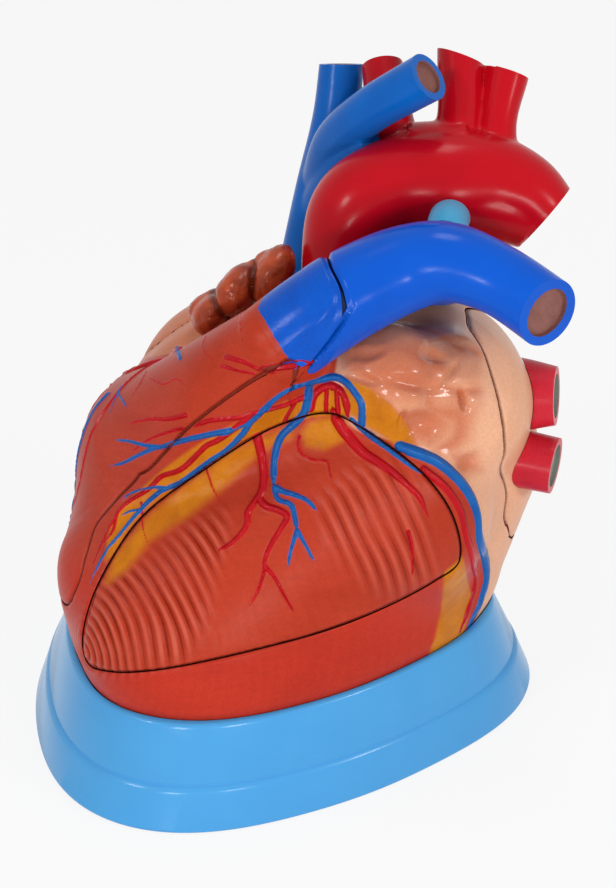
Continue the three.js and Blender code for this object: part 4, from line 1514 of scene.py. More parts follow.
class PaintBox:
    """The shared effects, and the materials made with them."""

    def __init__(self) -> None:
        """Makes the shared effects."""
        self.mottle = self.make_mottle()
        self.grain = self.make_grain()
        self.edge = self.make_edge()
        self.streak = self.make_streak()

    @staticmethod
    def group(name: str, inputs: dict[str, object], output: str, kind: str) -> tuple:
        """An empty node group with its sockets.

        Args:
            name: the group's name.
            inputs: each input's value: a colour, or a number.
            output: the output's name.
            kind: what the output gives.

        Returns:
            the group, its sheet, its inputs' values and its output.
        """
        tree = bpy.data.node_groups.new(name, "ShaderNodeTree")
        for key, value in inputs.items():
            taken = "NodeSocketColor" if isinstance(value, tuple) else "NodeSocketFloat"
            tree.interface.new_socket(key, in_out="INPUT", socket_type=taken).default_value = value
        tree.interface.new_socket(output, in_out="OUTPUT", socket_type="NodeSocket" + kind)
        sheet = NodeSheet(tree)
        return tree, sheet, sheet.add("NodeGroupInput").outputs, sheet.add("NodeGroupOutput").inputs[0]

    def make_mottle(self) -> Tree:
        """Cloudy paint: a colour that wanders towards a second one, with fine flecks."""
        inputs = {"Colour": (0.8, 0.8, 0.8, 1), "Second": (0.5, 0.5, 0.5, 1)}
        inputs.update(Amount=0.5, Scale=24.0, Fleck=0.05)
        tree, sheet, given, result = self.group("cloudy_paint", inputs, "Colour", "Color")
        cloud = sheet.noise(given["Scale"], 4.0, 0.6)
        share = sheet.times(sheet.ramp(cloud, 0.38, 0.68), given["Amount"])
        mixed = sheet.mix(share, given["Colour"], given["Second"])
        swing = sheet.times(sheet.ramp(sheet.noise(900.0), 0.3, 0.7, -1.0, 1.0), given["Fleck"])
        tree.links.new(sheet.toned(mixed, sheet.plus(swing, 1.0)), result)
        return tree

    def make_grain(self) -> Tree:
        """The slight unevenness of brushed paint on moulded plastic, as a normal."""
        inputs = {"Strength": 0.06, "Scale": 260.0}
        tree, sheet, given, result = self.group("paint_grain", inputs, "Normal", "Vector")
        height = sheet.plus(sheet.noise(given["Scale"], 3.0), sheet.times(sheet.noise(48.0, 1.0), 1.6))
        bump = sheet.add("ShaderNodeBump", Strength=given["Strength"], Distance=0.002, Height=height)
        tree.links.new(bump.outputs[0], result)
        return tree

    def make_edge(self) -> Tree:
        """A crisp painted edge from an attribute that is one half on the edge."""
        inputs = {"Ink": 0.0, "Softness": 0.05}
        tree, sheet, given, result = self.group("painted_edge", inputs, "Mask", "Float")
        waver = sheet.times(sheet.maths("SUBTRACT", sheet.noise(420.0), 0.5), 0.06)
        low, high = (sheet.maths(sign, 0.5, given["Softness"]) for sign in ("SUBTRACT", "ADD"))
        tree.links.new(sheet.ramp(sheet.plus(given["Ink"], waver), low, high), result)
        return tree

    def make_streak(self) -> Tree:
        """Fine fibres that run along the muscle, as a value round one."""
        tree, sheet, given, result = self.group("muscle_fibres", {"Amount": 0.1}, "Value", "Float")
        place = sheet.add("ShaderNodeTexCoord").outputs["Object"]
        turn, scale = (0.3, -0.5, 0.6), (60.0, 420.0, 420.0)
        turned = sheet.add("ShaderNodeMapping", Vector=place, Rotation=turn, Scale=scale)
        fibre = sheet.noise(1.0, 3.0, 0.8, turned.outputs[0])
        swing = sheet.times(sheet.maths("SUBTRACT", fibre, 0.5), given["Amount"])
        tree.links.new(sheet.plus(1.0, swing), result)
        return tree

    @staticmethod
    def use(sheet: NodeSheet, tree: Tree, **inputs: Feed) -> Socket:
        """A shared effect's output in a material."""
        return sheet.add("ShaderNodeGroup", {"node_tree": tree}, **inputs).outputs[0]

    @staticmethod
    def blank(name: str) -> tuple[Material, NodeSheet]:
        """A material without nodes, and the sheet to add them on.

        Args:
            name: its name.

        Returns:
            the material and the sheet.
        """
        material = bpy.data.materials.new(name)
        material.use_nodes = True
        material.node_tree.nodes.clear()
        return material, NodeSheet(material.node_tree)

    def shade(self, sheet: NodeSheet, finish: Finish, colour: Socket,
            roughness: Optional[Feed] = None, height: Optional[Feed] = None,
            coat: Optional[Feed] = None) -> None:
        """Joins a colour to a glossy shader and the material's output.

        Args:
            sheet: the material's sheet.
            finish: the surface's gloss and grain.
            colour: the paint's colour.
            roughness: takes the finish's place where it varies.
            height: relief in millimetres that is too fine for the mesh.
            coat: takes the place of the finish's clear coat where it varies.
        """
        normal = self.use(sheet, self.grain, Strength=finish.grain, Scale=finish.grain_size)
        if height is not None:
            bump = sheet.add("ShaderNodeBump", Strength=1.0, Distance=MM, Height=height, Normal=normal)
            normal = bump.outputs[0]
        roughness = finish.roughness if roughness is None else roughness
        coat = finish.coat if coat is None else coat
        shader = sheet.add("ShaderNodeBsdfPrincipled", Base_Color=colour, Roughness=roughness, Normal=normal,
            Metallic=finish.metallic, Specular_IOR_Level=finish.specular, Coat_Weight=coat,
            Coat_Roughness=0.1)
        sheet.add("ShaderNodeOutputMaterial", Surface=shader.outputs[0])

    def plain(self, name: str, finish: Finish) -> Material:
        """A material of one cloudy paint.

        Args:
            name: its name.
            finish: its finish.

        Returns:
            the material.
        """
        material, sheet = self.blank(name)
        colour = self.use(sheet, self.mottle, Colour=linear(finish.colour), Second=linear(finish.deep),
            Amount=finish.mottle, Scale=finish.mottle_size, Fleck=finish.fleck)
        # Painted shade: the creases are darkened towards the crease colour
        if finish.crease:
            share = sheet.ramp(sheet.attribute("crease"), 0.25, 1.0, 0.0, 0.85)
            colour = sheet.mix(share, colour, linear(finish.crease))
        if finish.streak:
            colour = sheet.toned(colour, self.use(sheet, self.streak, Amount=finish.streak))
        self.shade(sheet, finish, colour)
        return material

    def skin(self, name: str, finish: Finish) -> Material:
        """The heart's painted skin: muscle, fat, atrium, outflow tract and coronary vessels, with painted
        shade in the ribs' valleys, the auricle's folds and along the seams, and painted highlights on the
        ribs' crests.

        Args:
            name: its name.
            finish: its finish.

        Returns:
            the material.
        """
        material, sheet = self.blank(name)

        def cloudy(colour: str, second: str, amount: float, scale: float) -> Socket:
            """A cloudy paint from two colours' codes."""
            return self.use(sheet, self.mottle, Colour=linear(colour), Second=linear(second), Amount=amount,
                Scale=scale)

        muscle = cloudy(finish.colour, finish.deep, finish.mottle, finish.mottle_size)
        rosy = cloudy("b4402e", "a23426", 0.5, 30.0)
        muscle = sheet.mix(sheet.attribute("rosy"), muscle, rosy)
        muscle = sheet.mix(sheet.attribute("low"), muscle, cloudy("bf3320", "ae2a1c", 0.5, 18.0))
        muscle = sheet.toned(muscle, self.use(sheet, self.streak, Amount=finish.streak))
        turn = sheet.times(sheet.attribute("phase"), math.pi)
        wave = sheet.maths("POWER", sheet.maths("ABSOLUTE", sheet.maths("SINE", turn)), 0.7)
        ribbed = sheet.attribute("ribbed")
        # Painted shade: the ribs' valleys are darkened towards a deep red, where shade falls between them
        painted_valley_shade = sheet.times(sheet.ramp(wave, 0.1, 0.7, 0.65, 0.0), ribbed)
        muscle = sheet.mix(painted_valley_shade, muscle, linear("741c12"))
        # Painted highlight: the ribs' crests are lightened towards a pale pink, for the light they catch
        painted_crest_highlight = sheet.times(sheet.ramp(wave, 0.8, 1.0, 0.0, 0.45), ribbed)
        muscle = sheet.mix(painted_crest_highlight, muscle, linear("d8705a"))
        fat = cloudy("cd7a10", "b8620f", 0.6, 60.0)
        colour = sheet.mix(sheet.attribute("fat"), muscle, fat)
        tan = cloudy("eab08e", "e2a27c", 0.5, 20.0)
        auricle = sheet.attribute("auricle")
        tan = sheet.mix(sheet.times(auricle, 0.75), tan, cloudy("dc8f68", "d07c56", 0.6, 60.0))
        # Painted shade in the auricle's fold creases, together with the paint's own warmer blushes, both
        # mixed towards an orange-brown
        painted_valley_shade = sheet.ramp(sheet.attribute("fold"), 0.0, 0.35, 0.6, 0.0)
        shadow = sheet.times(auricle, painted_valley_shade)
        shadow = sheet.maths("MAXIMUM", shadow, sheet.times(sheet.attribute("blush"), 0.7))
        tan = sheet.mix(shadow, tan, cloudy("c4603a", "b45230", 0.5, 40.0))
        bare = sheet.maths("SUBTRACT", 1.0, sheet.attribute("fat"))
        colour = sheet.mix(sheet.times(sheet.attribute("atrial"), bare), colour, tan)
        gloss = sheet.times(auricle, 0.6)
        height = sheet.times(wave, ribbed)
        paints = (("conus", "0a56c4", "0849b0", 0.0), ("artery", "c0121c", "a00d1a", 0.45),
            ("vein", "1a62ae", "144c98", 0.45))
        for ink, first, second, raised in paints:
            painted = sheet.attribute(ink)
            cover = self.use(sheet, self.edge, Ink=painted, Softness=0.03)
            colour = sheet.mix(cover, colour, cloudy(first, second, 0.5, 60.0))
            gloss = sheet.maths("MAXIMUM", gloss, cover)
            height = sheet.plus(height, sheet.ramp(painted, 0.5, 0.65, 0.0, raised))
        # Painted shade: the skin next to each seam darkens to near black-brown, for the shade in the gap
        # between the pieces
        painted_seam_shade = sheet.ramp(sheet.attribute("seam"), 0.8, 1.0, 0.0, 0.75)
        colour = sheet.mix(painted_seam_shade, colour, linear("3a120c"))
        roughness = sheet.ramp(gloss, 0.0, 1.0, finish.roughness, 0.24)
        self.shade(sheet, finish, colour, roughness, height, sheet.times(auricle, 0.4))
        return material


FINISHES = {
    "stand": Finish("4ba3e0", "449bdb", roughness=0.2, specular=0.25, mottle=0.4, grain=0.015,
        grain_size=60.0, fleck=0.008),
    "skin": Finish("b83a22", "a82e16", roughness=0.36, coat=0.0, mottle_size=26.0, streak=0.22),
    "seam": Finish("8a3024", "73261c", roughness=0.5, coat=0.05, streak=0.2),
    "left_lining": Finish("d98d78", "c9705e", roughness=0.42, coat=0.0, mottle=0.7, mottle_size=40.0,
        streak=0.3),
    "right_lining": Finish("b98a9a", "a0708a", roughness=0.42, coat=0.0, mottle=0.7, mottle_size=40.0,
        streak=0.3),
    "passage": Finish("c98a7a", "b57466", roughness=0.45, coat=0.0),
    # The auricle's crease colour is painted shade in the creases between its lobes
    "auricle": Finish("c0502c", "8a321a", roughness=0.26, coat=0.15, mottle=0.8, mottle_size=90.0, grain=0.12,
        crease="4c180a"),
    # Painted shade: near-black navy for the upper cut sides of the trunk's plate, for the shadow in the gap
    # beside it
    "trunk_edge_shade": Finish("06143c", "040f2e", roughness=0.4, coat=0.0),
    "aorta": Finish("c4081a", "ac0616", roughness=0.24, mottle_size=16.0, grain=0.04, grain_size=90.0,
        fleck=0.015),
    "trunk": Finish("055ad0", "044cbc", roughness=0.22, mottle_size=16.0, grain=0.04, grain_size=90.0,
        fleck=0.015),
    "cava": Finish("0a66c2", "0858ae", roughness=0.26, mottle_size=18.0, grain=0.06, grain_size=110.0,
        fleck=0.015),
    "vein": Finish("d22a3a", "bd2233", roughness=0.3, mottle=0.6, mottle_size=30.0, grain=0.08),
    "ligament": Finish("4fb0dc", "429fce", roughness=0.28, fleck=0.01),
    "lumen": Finish("8f6058", "7d5049", roughness=0.55, coat=0.0, mottle=0.6, mottle_size=90.0, grain=0.12,
        grain_size=420.0),
    "grey_lumen": Finish("8d9289", "7f857d", roughness=0.55, coat=0.0, mottle=0.6, mottle_size=90.0,
        grain=0.12),
    "leaflet": Finish("ecdfc4", "dcc8a4", roughness=0.45, coat=0.0, mottle=0.6, mottle_size=60.0,
        streak=0.25),
    "papillary": Finish("b5452f", "9c3a2a", roughness=0.4, coat=0.0, mottle=0.6, mottle_size=50.0,
        streak=0.4),
    "cord": Finish("eee4cf", "ddd0b2", roughness=0.45, coat=0.0),
    "magnet": Finish("b8babd", "a4a6aa", roughness=0.24, coat=0.0, metallic=1.0, grain=0.03,
        grain_size=700.0),
}


class Palette:
    """The materials, made once each."""

    def __init__(self) -> None:
        """Makes a material of each finish."""
        box = PaintBox()
        self.made = {
            name: (box.skin if name == "skin" else box.plain)(name, finish)
            for name, finish in FINISHES.items()
        }

    def __getitem__(self, name: str) -> Material:
        """A material by its finish's name."""
        return self.made[name]


# Repeated pieces, as geometry nodes


class Repeats:
    """Geometry node trees for the cords and the magnets."""

    @staticmethod
    def tree(name: str) -> tuple[Tree, NodeSheet, Node, Node]:
        """An empty tree with geometry in, geometry out and a material.

        Args:
            name: its name.

        Returns:
            the tree, its sheet, its input and its output.
        """
        tree = bpy.data.node_groups.new(name, "GeometryNodeTree")
        taken = {"Geometry": "Geometry", "Material": "Material", "Radius": "Float", "Length": "Float"}
        for key, kind in taken.items():
            tree.interface.new_socket(key, in_out="INPUT", socket_type="NodeSocket" + kind)
        tree.interface.new_socket("Geometry", in_out="OUTPUT", socket_type="NodeSocketGeometry")
        sheet = NodeSheet(tree)
        return tree, sheet, sheet.add("NodeGroupInput"), sheet.add("NodeGroupOutput")

    @staticmethod
    def end(sheet: NodeSheet, geometry: Socket, given: Node, result: Node) -> None:
        """Realizes a tree's instances and sets its material.

        Args:
            sheet: the tree's sheet.
            geometry: the instances.
            given: the tree's input.
            result: its output.
        """
        real = sheet.add("GeometryNodeRealizeInstances", Geometry=geometry).outputs[0]
        painted = sheet.add("GeometryNodeSetMaterial", Geometry=real, Material=given.outputs["Material"])
        sheet.tree.links.new(painted.outputs[0], result.inputs[0])

    @classmethod
    def cords(cls) -> Tree:
        """Round cords along edges, thinner in their middles."""
        tree, sheet, given, result = cls.tree("tendinous_cords")
        curve = sheet.add("GeometryNodeMeshToCurve", Mesh=given.outputs["Geometry"]).outputs[0]
        share = sheet.add("GeometryNodeSplineParameter").outputs["Factor"]
        middle = sheet.maths("ABSOLUTE", sheet.maths("SUBTRACT", share, 0.5))
        girth = sheet.plus(0.75, sheet.times(middle, 0.7))
        girth = sheet.times(girth, given.outputs["Radius"])
        curve = sheet.add("GeometryNodeSetCurveRadius", Curve=curve, Radius=girth).outputs[0]
        circle = sheet.add("GeometryNodeCurvePrimitiveCircle", Resolution=12, Radius=1.0).outputs[0]
        swept = sheet.add("GeometryNodeCurveToMesh", Curve=curve, Profile_Curve=circle, Fill_Caps=True)
        if "Scale" in swept.inputs:
            radius = sheet.add("GeometryNodeInputRadius").outputs[0]
            sheet.tree.links.new(radius, swept.inputs["Scale"])
        cls.end(sheet, swept.outputs[0], given, result)
        return tree

    @classmethod
    def discs(cls) -> Tree:
        """Round discs on points, square to each point's 'out' direction."""
        tree, sheet, given, result = cls.tree("magnet_discs")
        points = sheet.add("GeometryNodeMeshToPoints", Mesh=given.outputs["Geometry"]).outputs[0]
        radius, length = given.outputs["Radius"], given.outputs["Length"]
        disc = sheet.add("GeometryNodeMeshCylinder", Vertices=48, Radius=radius, Depth=length).outputs[0]
        out = sheet.add("GeometryNodeInputNamedAttribute", {"data_type": "FLOAT_VECTOR"}, Name="out")
        turn = sheet.add("FunctionNodeAlignRotationToVector", Vector=out.outputs[0]).outputs[0]
        discs = sheet.add("GeometryNodeInstanceOnPoints", Points=points, Instance=disc, Rotation=turn)
        cls.end(sheet, discs.outputs[0], given, result)
        return tree

    @staticmethod
    def grow(source: Thing, tree: Tree, material: Material, radius: float,
            length: float) -> Thing:
        """Turns an object into what a tree makes of it.

        Args:
            source: the object.
            tree: the tree.
            material: its material.
            radius: the cords' or discs' radius.
            length: the discs' thickness.

        Returns:
            the same object.
        """
        modifier = source.modifiers.new("grow", "NODES")
        modifier.node_group = tree
        values = {"Material": material, "Radius": radius * MM, "Length": length * MM}
        for item in tree.interface.items_tree:
            if item.item_type == "SOCKET" and item.in_out == "INPUT" and item.name in values:
                modifier[item.identifier] = values[item.name]
        Workshop.settle(source)
        return source


# The pieces


@dataclass(frozen=True)
class VesselPlan:
    """A great vessel: its bars, its body, and its finishes. Each bar's last end shows a shallow bore."""

    node: str
    body: str
    bars: tuple[Bar, ...]
    finish: str
    lumen: str = "lumen"
    fuse: bool = False
    bored: bool = True
    rim_share: float = 0.76
    recess: float = 2.0
    fill: tuple[Bar, ...] = ()

    @property
    def ends(self) -> tuple[Bar, ...]:
        """The bars whose ends are trimmed and bored."""
        return self.bars if self.bored else ()


TRUNK = Bar(((8, -30, 197), (25, -28, 210), (42, -22, 219), (64, -16, 227), (81, -18, 231), (103, -25, 226),
    (128, -39, 214)), (20, 20, 20, 19, 17.5, 15.5, 15.5), (0.62, -0.77, -0.08), 5)
RIGHT_PULMONARY = Bar(((66, -14, 223), (82, 12, 209), (80, 46, 196), (56, 92, 192)), (13, 13, 13, 13))
ARCH = Bar(((41, 25, 172), (38, 32, 206), (44, 38, 229), (62, 42, 239), (82, 43, 240), (102, 43, 240), (117,
    40, 236), (128, 36, 227.5)), (20, 20, 22, 22.5, 25, 22.5, 19, 16))
AORTIC_ROOT = Bar(((24, -12, 116), (35, 8, 144), (41, 22, 170), (40, 30, 192)), (15, 15, 15, 15))
VESSELS = (
    VesselPlan("pulmonary_trunk", "heart", (TRUNK, RIGHT_PULMONARY), "trunk", fuse=True, rim_share=0.74),
    VesselPlan("aorta", "heart", (ARCH, Bar(((64, 52, 240), (58, 74, 260), (55, 93, 276)), (11.5, 10.5, 9.5)),
        Bar(((86, 47, 244), (89, 60, 265), (89.5, 77, 287)), (12.5, 10, 10.3), (0.34, 0.47, 0.81)), Bar(((104,
        44, 240), (106, 58, 262), (111, 73, 281)), (14, 9, 10), (0.31, 0.48, 0.82))), "aorta", fuse=True,
        fill=(Bar(((68, 50, 245), (94, 49, 248)), (20, 19)), Bar(((94, 41, 236), (114, 38, 230.5), (123, 36,
        226.5)), (22, 18, 15.5)))),
    VesselPlan("superior_vena_cava", "heart", (Bar(((20, 75, 176), (27, 85, 217), (34, 93, 250), (36.5, 104,
        272)), (14, 12, 11, 10.3), (0, 0.36, 0.93)), Bar(((28, 84, 220), (34, 70, 248), (48, 54, 270), (74,
        42, 292)), (10.5, 10.5, 10.5, 11.2))), "cava", fuse=True, rim_share=0.7, fill=(Bar(((27, 80, 210),
        (36, 68, 234), (50, 55, 256)), (11, 10, 8)),)),
    VesselPlan("inferior_vena_cava", "heart", (Bar(((-2, 70, 112), (4, 88, 98), (10, 106, 82)), (17, 17,
        17)),), "cava"),
    VesselPlan("right_superior_pulmonary_vein", "heart", (Bar(((62, 62, 152), (56, 84, 158), (50, 102, 163)),
        (12, 12, 12)),), "vein", "grey_lumen"),
    VesselPlan("right_inferior_pulmonary_vein", "heart", (Bar(((66, 58, 124), (62, 80, 122), (56, 100, 119)),
        (12, 12, 12)),), "vein", "grey_lumen"),
    VesselPlan("left_superior_pulmonary_vein", "left_atrium", (Bar(((98, 16, 146), (118, 13, 148), (134, 10,
        149)), (20, 17, 13.5)),), "vein", "grey_lumen"),
    VesselPlan("left_inferior_pulmonary_vein", "left_atrium", (Bar(((98, 10, 120), (118, 5, 119), (134, 0,
        118)), (14, 13.5, 13)),), "vein", "grey_lumen"),
    VesselPlan("ligamentum_arteriosum", "heart", (Bar(((79, -16, 232), (82, 4, 237), (85, 28, 232)), (9, 9,
        9)),), "ligament", bored=False),
)


@dataclass(frozen=True)
class Ring:
    """A valve's ring: where it is, the way the blood runs through it, and its radius."""

    point: Array
    flow: Array
    radius: float


# The right auricle's lobes: middle, half length, half width, half depth and lean
LOBES = (((-22, 31, 181), 12.5, 9.0, 14, 50), ((-11, 31, 192), 15.0, 9.8, 15, 52), ((5, 32, 200), 15.5, 9.4,
    15, 60))


@dataclass(frozen=True)
class Fittings:
    """Sizes of what fits in the heart, in millimetres. The veins' bores are a share of their radii."""

    inflow_share: float = 0.78
    seat_gap: float = 0.3
    magnet_radius: float = 3.0
    magnet_thickness: float = 3.0
    pocket_radius: float = 3.15
    pocket_reach: tuple[float, float] = (3.8, 1.65)
    leaflet_depth: float = 18
    cord_radius: float = 0.9
    # Above this height the trunk plate's cut sides get the painted shade
    trunk_edge_height: float = 213


class Anatomy:
    """Builds the heart's pieces from one relief-covered skin."""

    sizes = Fittings()

    def __init__(self, shop: Workshop, palette: Palette, nodes: dict[str, Thing]) -> None:
        """Prepares what several pieces share.

        Args:
            shop: makes and cuts meshes.
            palette: the materials.
            nodes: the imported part's nodes.
        """
        self.shop = shop
        self.palette = palette
        self.nodes = nodes
        form = self.form = HeartForm(StandSizes())
        root, top = form.conus_root, form.conus_top
        rise = [tuple(root + share * (top - root)) for share in (0, 0.35, 0.7)]
        knots = (*rise, tuple(top), (22, -28, 208), (42, -22, 219), (60, -17, 226))
        self.outflow = Bar(knots, (19, 19, 17, 14, 15, 15, 13))
        self.mitral = self.orifice(form.left_atrial_middle, form.left_middle, form.left_upstream,
            form.left_plane)
        self.tricuspid = self.orifice(form.right_atrial_middle, form.right_middle, form.right_upstream,
            form.right_plane)
        self.aortic = self.station(AORTIC_ROOT, 0.5)
        self.pulmonary = self.station(self.outflow, 0.65)
        self.make_skin()
        self.make_tools()

    @staticmethod
    def orifice(start: Array, end: Array, normal: Array, plane: Array) -> Ring:
        """The ring where the flow crosses the plane between an atrium and its ventricle.

        Args:
            start: the atrium's middle.
            end: the ventricle's middle.
            normal: the plane's upstream side.
            plane: a point on it.

        Returns:
            the ring.
        """
        flow = unit(*(end - start))
        distance = normal @ (plane - start) / (normal @ flow)
        return Ring(start + flow * distance, flow, 19)

    @staticmethod
    def station(bar: Bar, share: float) -> Ring:
        """The ring part of the way along a bar."""
        before, here, after = bar.middle(np.array([share - 0.01, share, share + 0.01]))
        radius = np.interp(share * (len(bar.radii) - 1), range(len(bar.radii)), bar.radii)
        return Ring(here, unit(*(after - before)), float(radius))

    @staticmethod
    def coordinates(made: Thing) -> Points:
        """A mesh's vertices in millimetres."""
        return read(made.data.vertices, "co", 3).astype(float) / MM

    @staticmethod
    def move(made: Thing, vertices: Points) -> None:
        """Puts a mesh's vertices at places in millimetres."""
        made.data.vertices.foreach_set("co", (vertices * MM).astype(np.float32).ravel())
        made.data.update()

    @staticmethod
    def normals(made: Thing) -> Points:
        """A mesh's vertex normals."""
        return read(made.data.vertex_normals, "vector", 3).astype(float)

    def longest_edge(self, p: Points) -> Array:
        """The skin's longest edges: short where the front view sees them, long inside the stand.

        Args:
            p: the edges' middles.

        Returns:
            a length for each.
        """
        way = p - self.form.middle
        way /= norm(way, axis=1)[:, None]
        fine, coarse = (2.2, 5.0) if self.shop.quick else (1.2, 3.4)
        seen = np.where(way @ -FrontView().forward > -0.1, fine, coarse)
        return np.where(p[:, 2] < self.form.stand.rim_height - 2, 9.0, seen)

    def make_skin(self) -> None:
        """The whole heart with its relief and its painted attributes."""
        form, shop = self.form, self.shop
        directions, faces = shop.ball(6)
        towards = unit(0.1, -0.8, 0.6)
        leaning = directions + 0.25 * towards
        leaning /= norm(leaning, axis=1)[:, None]
        smooth = shop.slide(form.heart, form.middle, leaning, RAY_START)
        faces = np.array(faces)
        for _ in range(4):
            known = len(smooth)
            smooth, faces = shop.split_long(smooth, faces, self.longest_edge)
            smooth[known:] = shop.drawn_in(form.heart, smooth[known:])
        log.info("skin: %d faces", len(faces))
        self.skin = shop.solid("skin", smooth, faces, self.palette["skin"])
        normals = self.normals(self.skin)
        height, inks = Relief(form).lay(smooth, normals, read(self.skin.data.edges, "vertices", 2, np.int32))
        ventral = smoothstep(-8, 8, form.left(smooth) - form.right(smooth))
        inks["rosy"] = ventral * (1 - inks["atrial"])
        under = 1 - smoothstep(70, 92, smooth[:, 2] - 0.2 * np.abs(smooth[:, 0]))
        inks["low"] = smoothstep(-0.5, 1.5, WALLS[0].margin(smooth)) * under
        shaped = smooth + normals * height[:, None]
        self.move(self.skin, shaped)
        for name, values in inks.items():
            paint(self.skin, name, values)
        self.inks = inks
        self.skin_tree = BVHTree.FromPolygons(shaped.tolist(), faces.tolist())
        self.skin_corners = faces
        self.skin_seat = shop.copy(self.skin, "skin_seat")
        self.move(self.skin_seat, shaped + self.sizes.seat_gap * self.normals(self.skin))

    def make_tools(self) -> None:
        """The cores, chambers, passages and prisms that cut the pieces."""
        shop, form, palette, sizes = self.shop, self.form, self.palette, self.sizes
        seam = palette["seam"]
        self.core = shop.moulded("core", inset(form.heart, form.sizes.wall), form.middle, 6, RAY_START, seam)
        seat = inset(form.heart, form.sizes.wall + sizes.seat_gap)
        self.core_seat = shop.moulded("core_seat", seat, form.middle, 6, RAY_START, seam)
        self.spaces = []
        self.rooms = {}
        for chamber, (field, middle) in form.hollows().items():
            lining = palette["left_lining" if chamber.startswith("left") else "right_lining"]
            level, ridges = (6, 0.9) if chamber.endswith("ventricle") else (5, 0.35)
            room = shop.moulded(chamber + "_room", field, middle, level, 1, lining)
            self.rooms[chamber] = (field, middle)
            self.line(room, ridges)
            self.spaces.append(room)
        passage = palette["passage"]
        bars = [shop.bar("root_bore", AORTIC_ROOT, passage), shop.bar("outflow_bore", self.outflow, passage)]
        bores = [shop.plug("ring_bore", ring.point, ring.flow, ring.radius, 12, 12, passage)
            for ring in (self.mitral, self.tricuspid)]
        inflows = [(form.right_atrial_middle, end, radius)
            for end, radius in ((row(22, 78, 182), 14), (row(4, 88, 98), 17))]
        for plan in VESSELS:
            if plan.node.endswith("pulmonary_vein"):
                knots = np.array(plan.bars[0].knots, float)
                inflows.append(((form.left_atrial_middle + knots[0]) / 2, knots[1], plan.bars[0].radii[-1]))
        for start, end, radius in inflows:
            run = end - start
            bores.append(shop.plug("inflow", start, unit(*run), radius * sizes.inflow_share, 0,
                float(norm(run)), passage))
        self.outflow_bore, self.root_bore = bars[1], bars[0]
        self.passages = bars + bores
        self.pockets = {wall.chamber: ([], []) for wall in WALLS}
        for name, node in self.nodes.items():
            if "_magnet_" in name:
                chamber = name.split("_wall_")[0].split("_seat_")[0]
                centre, out = self.magnet_place(node)
                on_wall = "_wall_magnet_" in name
                behind, ahead = sizes.pocket_reach if on_wall else sizes.pocket_reach[::-1]
                pocket = shop.plug("pocket", centre, out, sizes.pocket_radius, behind, ahead, seam)
                self.pockets[chamber][0 if on_wall else 1].append(pocket)
        self.loose = {wall.chamber: wall.prisms(shop, True, seam) for wall in WALLS}
        self.tight = {wall.chamber: wall.prisms(shop, False, seam) for wall in WALLS}

    def line(self, room: Thing, height: float) -> None:
        """Gives a chamber's lining its fleshy ridges.

        Args:
            room: the chamber.
            height: how high they stand.
        """
        p, normals = self.coordinates(room), self.normals(room)
        ridged = 1 - np.abs(smooth_noise(p * row(1, 1, 0.45), 7, 41)) * 2
        knobs = smooth_noise(p, 4, 43)
        self.move(room, p - normals * np.clip(height * (0.8 * ridged + 0.35 * knobs), 0, None)[:, None])

    def magnet_place(self, node: Thing) -> tuple[Array, Array]:
        """A magnet's middle and the way it faces out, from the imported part.

        Args:
            node: the magnet.

        Returns:
            the middle and the direction.
        """
        p = self.coordinates(node)
        corners = np.unique(np.round(p, 2), axis=0)
        centre = corners.mean(0)
        _, _, axes = np.linalg.svd(corners - centre)
        out = axes[2]
        return centre, out if out @ (centre - self.form.middle) > 0 else -out

    def repaint(self, made: Thing) -> None:
        """Gives the vertices that cuts made the paint of the skin they lie on.

        Args:
            made: what was cut from the skin.
        """
        mesh = made.data
        p = self.coordinates(made)
        shaped = self.coordinates(self.skin)
        keys = [np.round(q * 500).astype(np.int64) @ np.array([1, 1 << 20, 1 << 40]) for q in (p, shaped)]
        used, sizes = (read(mesh.polygons, name, 1, np.int32) for name in ("material_index", "loop_total"))
        on_skin = np.repeat(used == mesh.materials.find(self.palette["skin"].name), sizes)
        outer = np.zeros(len(p), bool)
        outer[read(mesh.loops, "vertex_index", 1, np.int32)[on_skin]] = True
        fresh = np.flatnonzero(outer & ~np.isin(*keys))
        log.info("%s: %d vertices repainted", made.name, len(fresh))
        painted = {name: mesh.attributes[name].data for name in self.inks}
        values = {name: read(data, "value") for name, data in painted.items()}
        for i in fresh:
            place, _, face, distance = self.skin_tree.find_nearest(p[i])
            if distance > 0.25:
                continue
            corners = self.skin_corners[face]
            a, b, c = shaped[corners]
            shares = np.linalg.lstsq(np.stack([b - a, c - a], axis=1), np.array(place) - a, rcond=None)[0]
            shares = np.array([1 - shares.sum(), *shares])
            for name, data in values.items():
                data[i] = self.inks[name][corners] @ shares
        blue = np.minimum(Relief.conus(self.form, p[fresh]), Relief.near_trunk(self.form, p[fresh]))
        values["conus"][fresh[(blue > 0) & (WALLS[1].margin(p[fresh]) < 2)]] = 1
        for name, data in painted.items():
            data.foreach_set("value", values[name])

    def heart_body(self) -> None:
        """The fixed body, open where the walls come off."""
        shop = self.shop
        body = shop.copy(self.skin, "heart_body_cast")
        floor = shop.floor(self.form.stand.seat_floor + self.sizes.seat_gap, self.palette["seam"])
        openings = []
        for wall in WALLS:
            opening = shop.copy(self.loose[wall.chamber], "opening")
            openings.append(shop.cut(opening, "DIFFERENCE", self.core_seat))
        pockets = [pocket for wall in WALLS for pocket in self.pockets[wall.chamber][1]]
        shop.cut(body, "DIFFERENCE", floor, *openings, *self.spaces, *self.passages, *pockets)
        shop.largest(body)
        self.repaint(body)
        shop.discard(floor, *openings)
        shop.finish(body, "heart", "muscle", "heart_body")

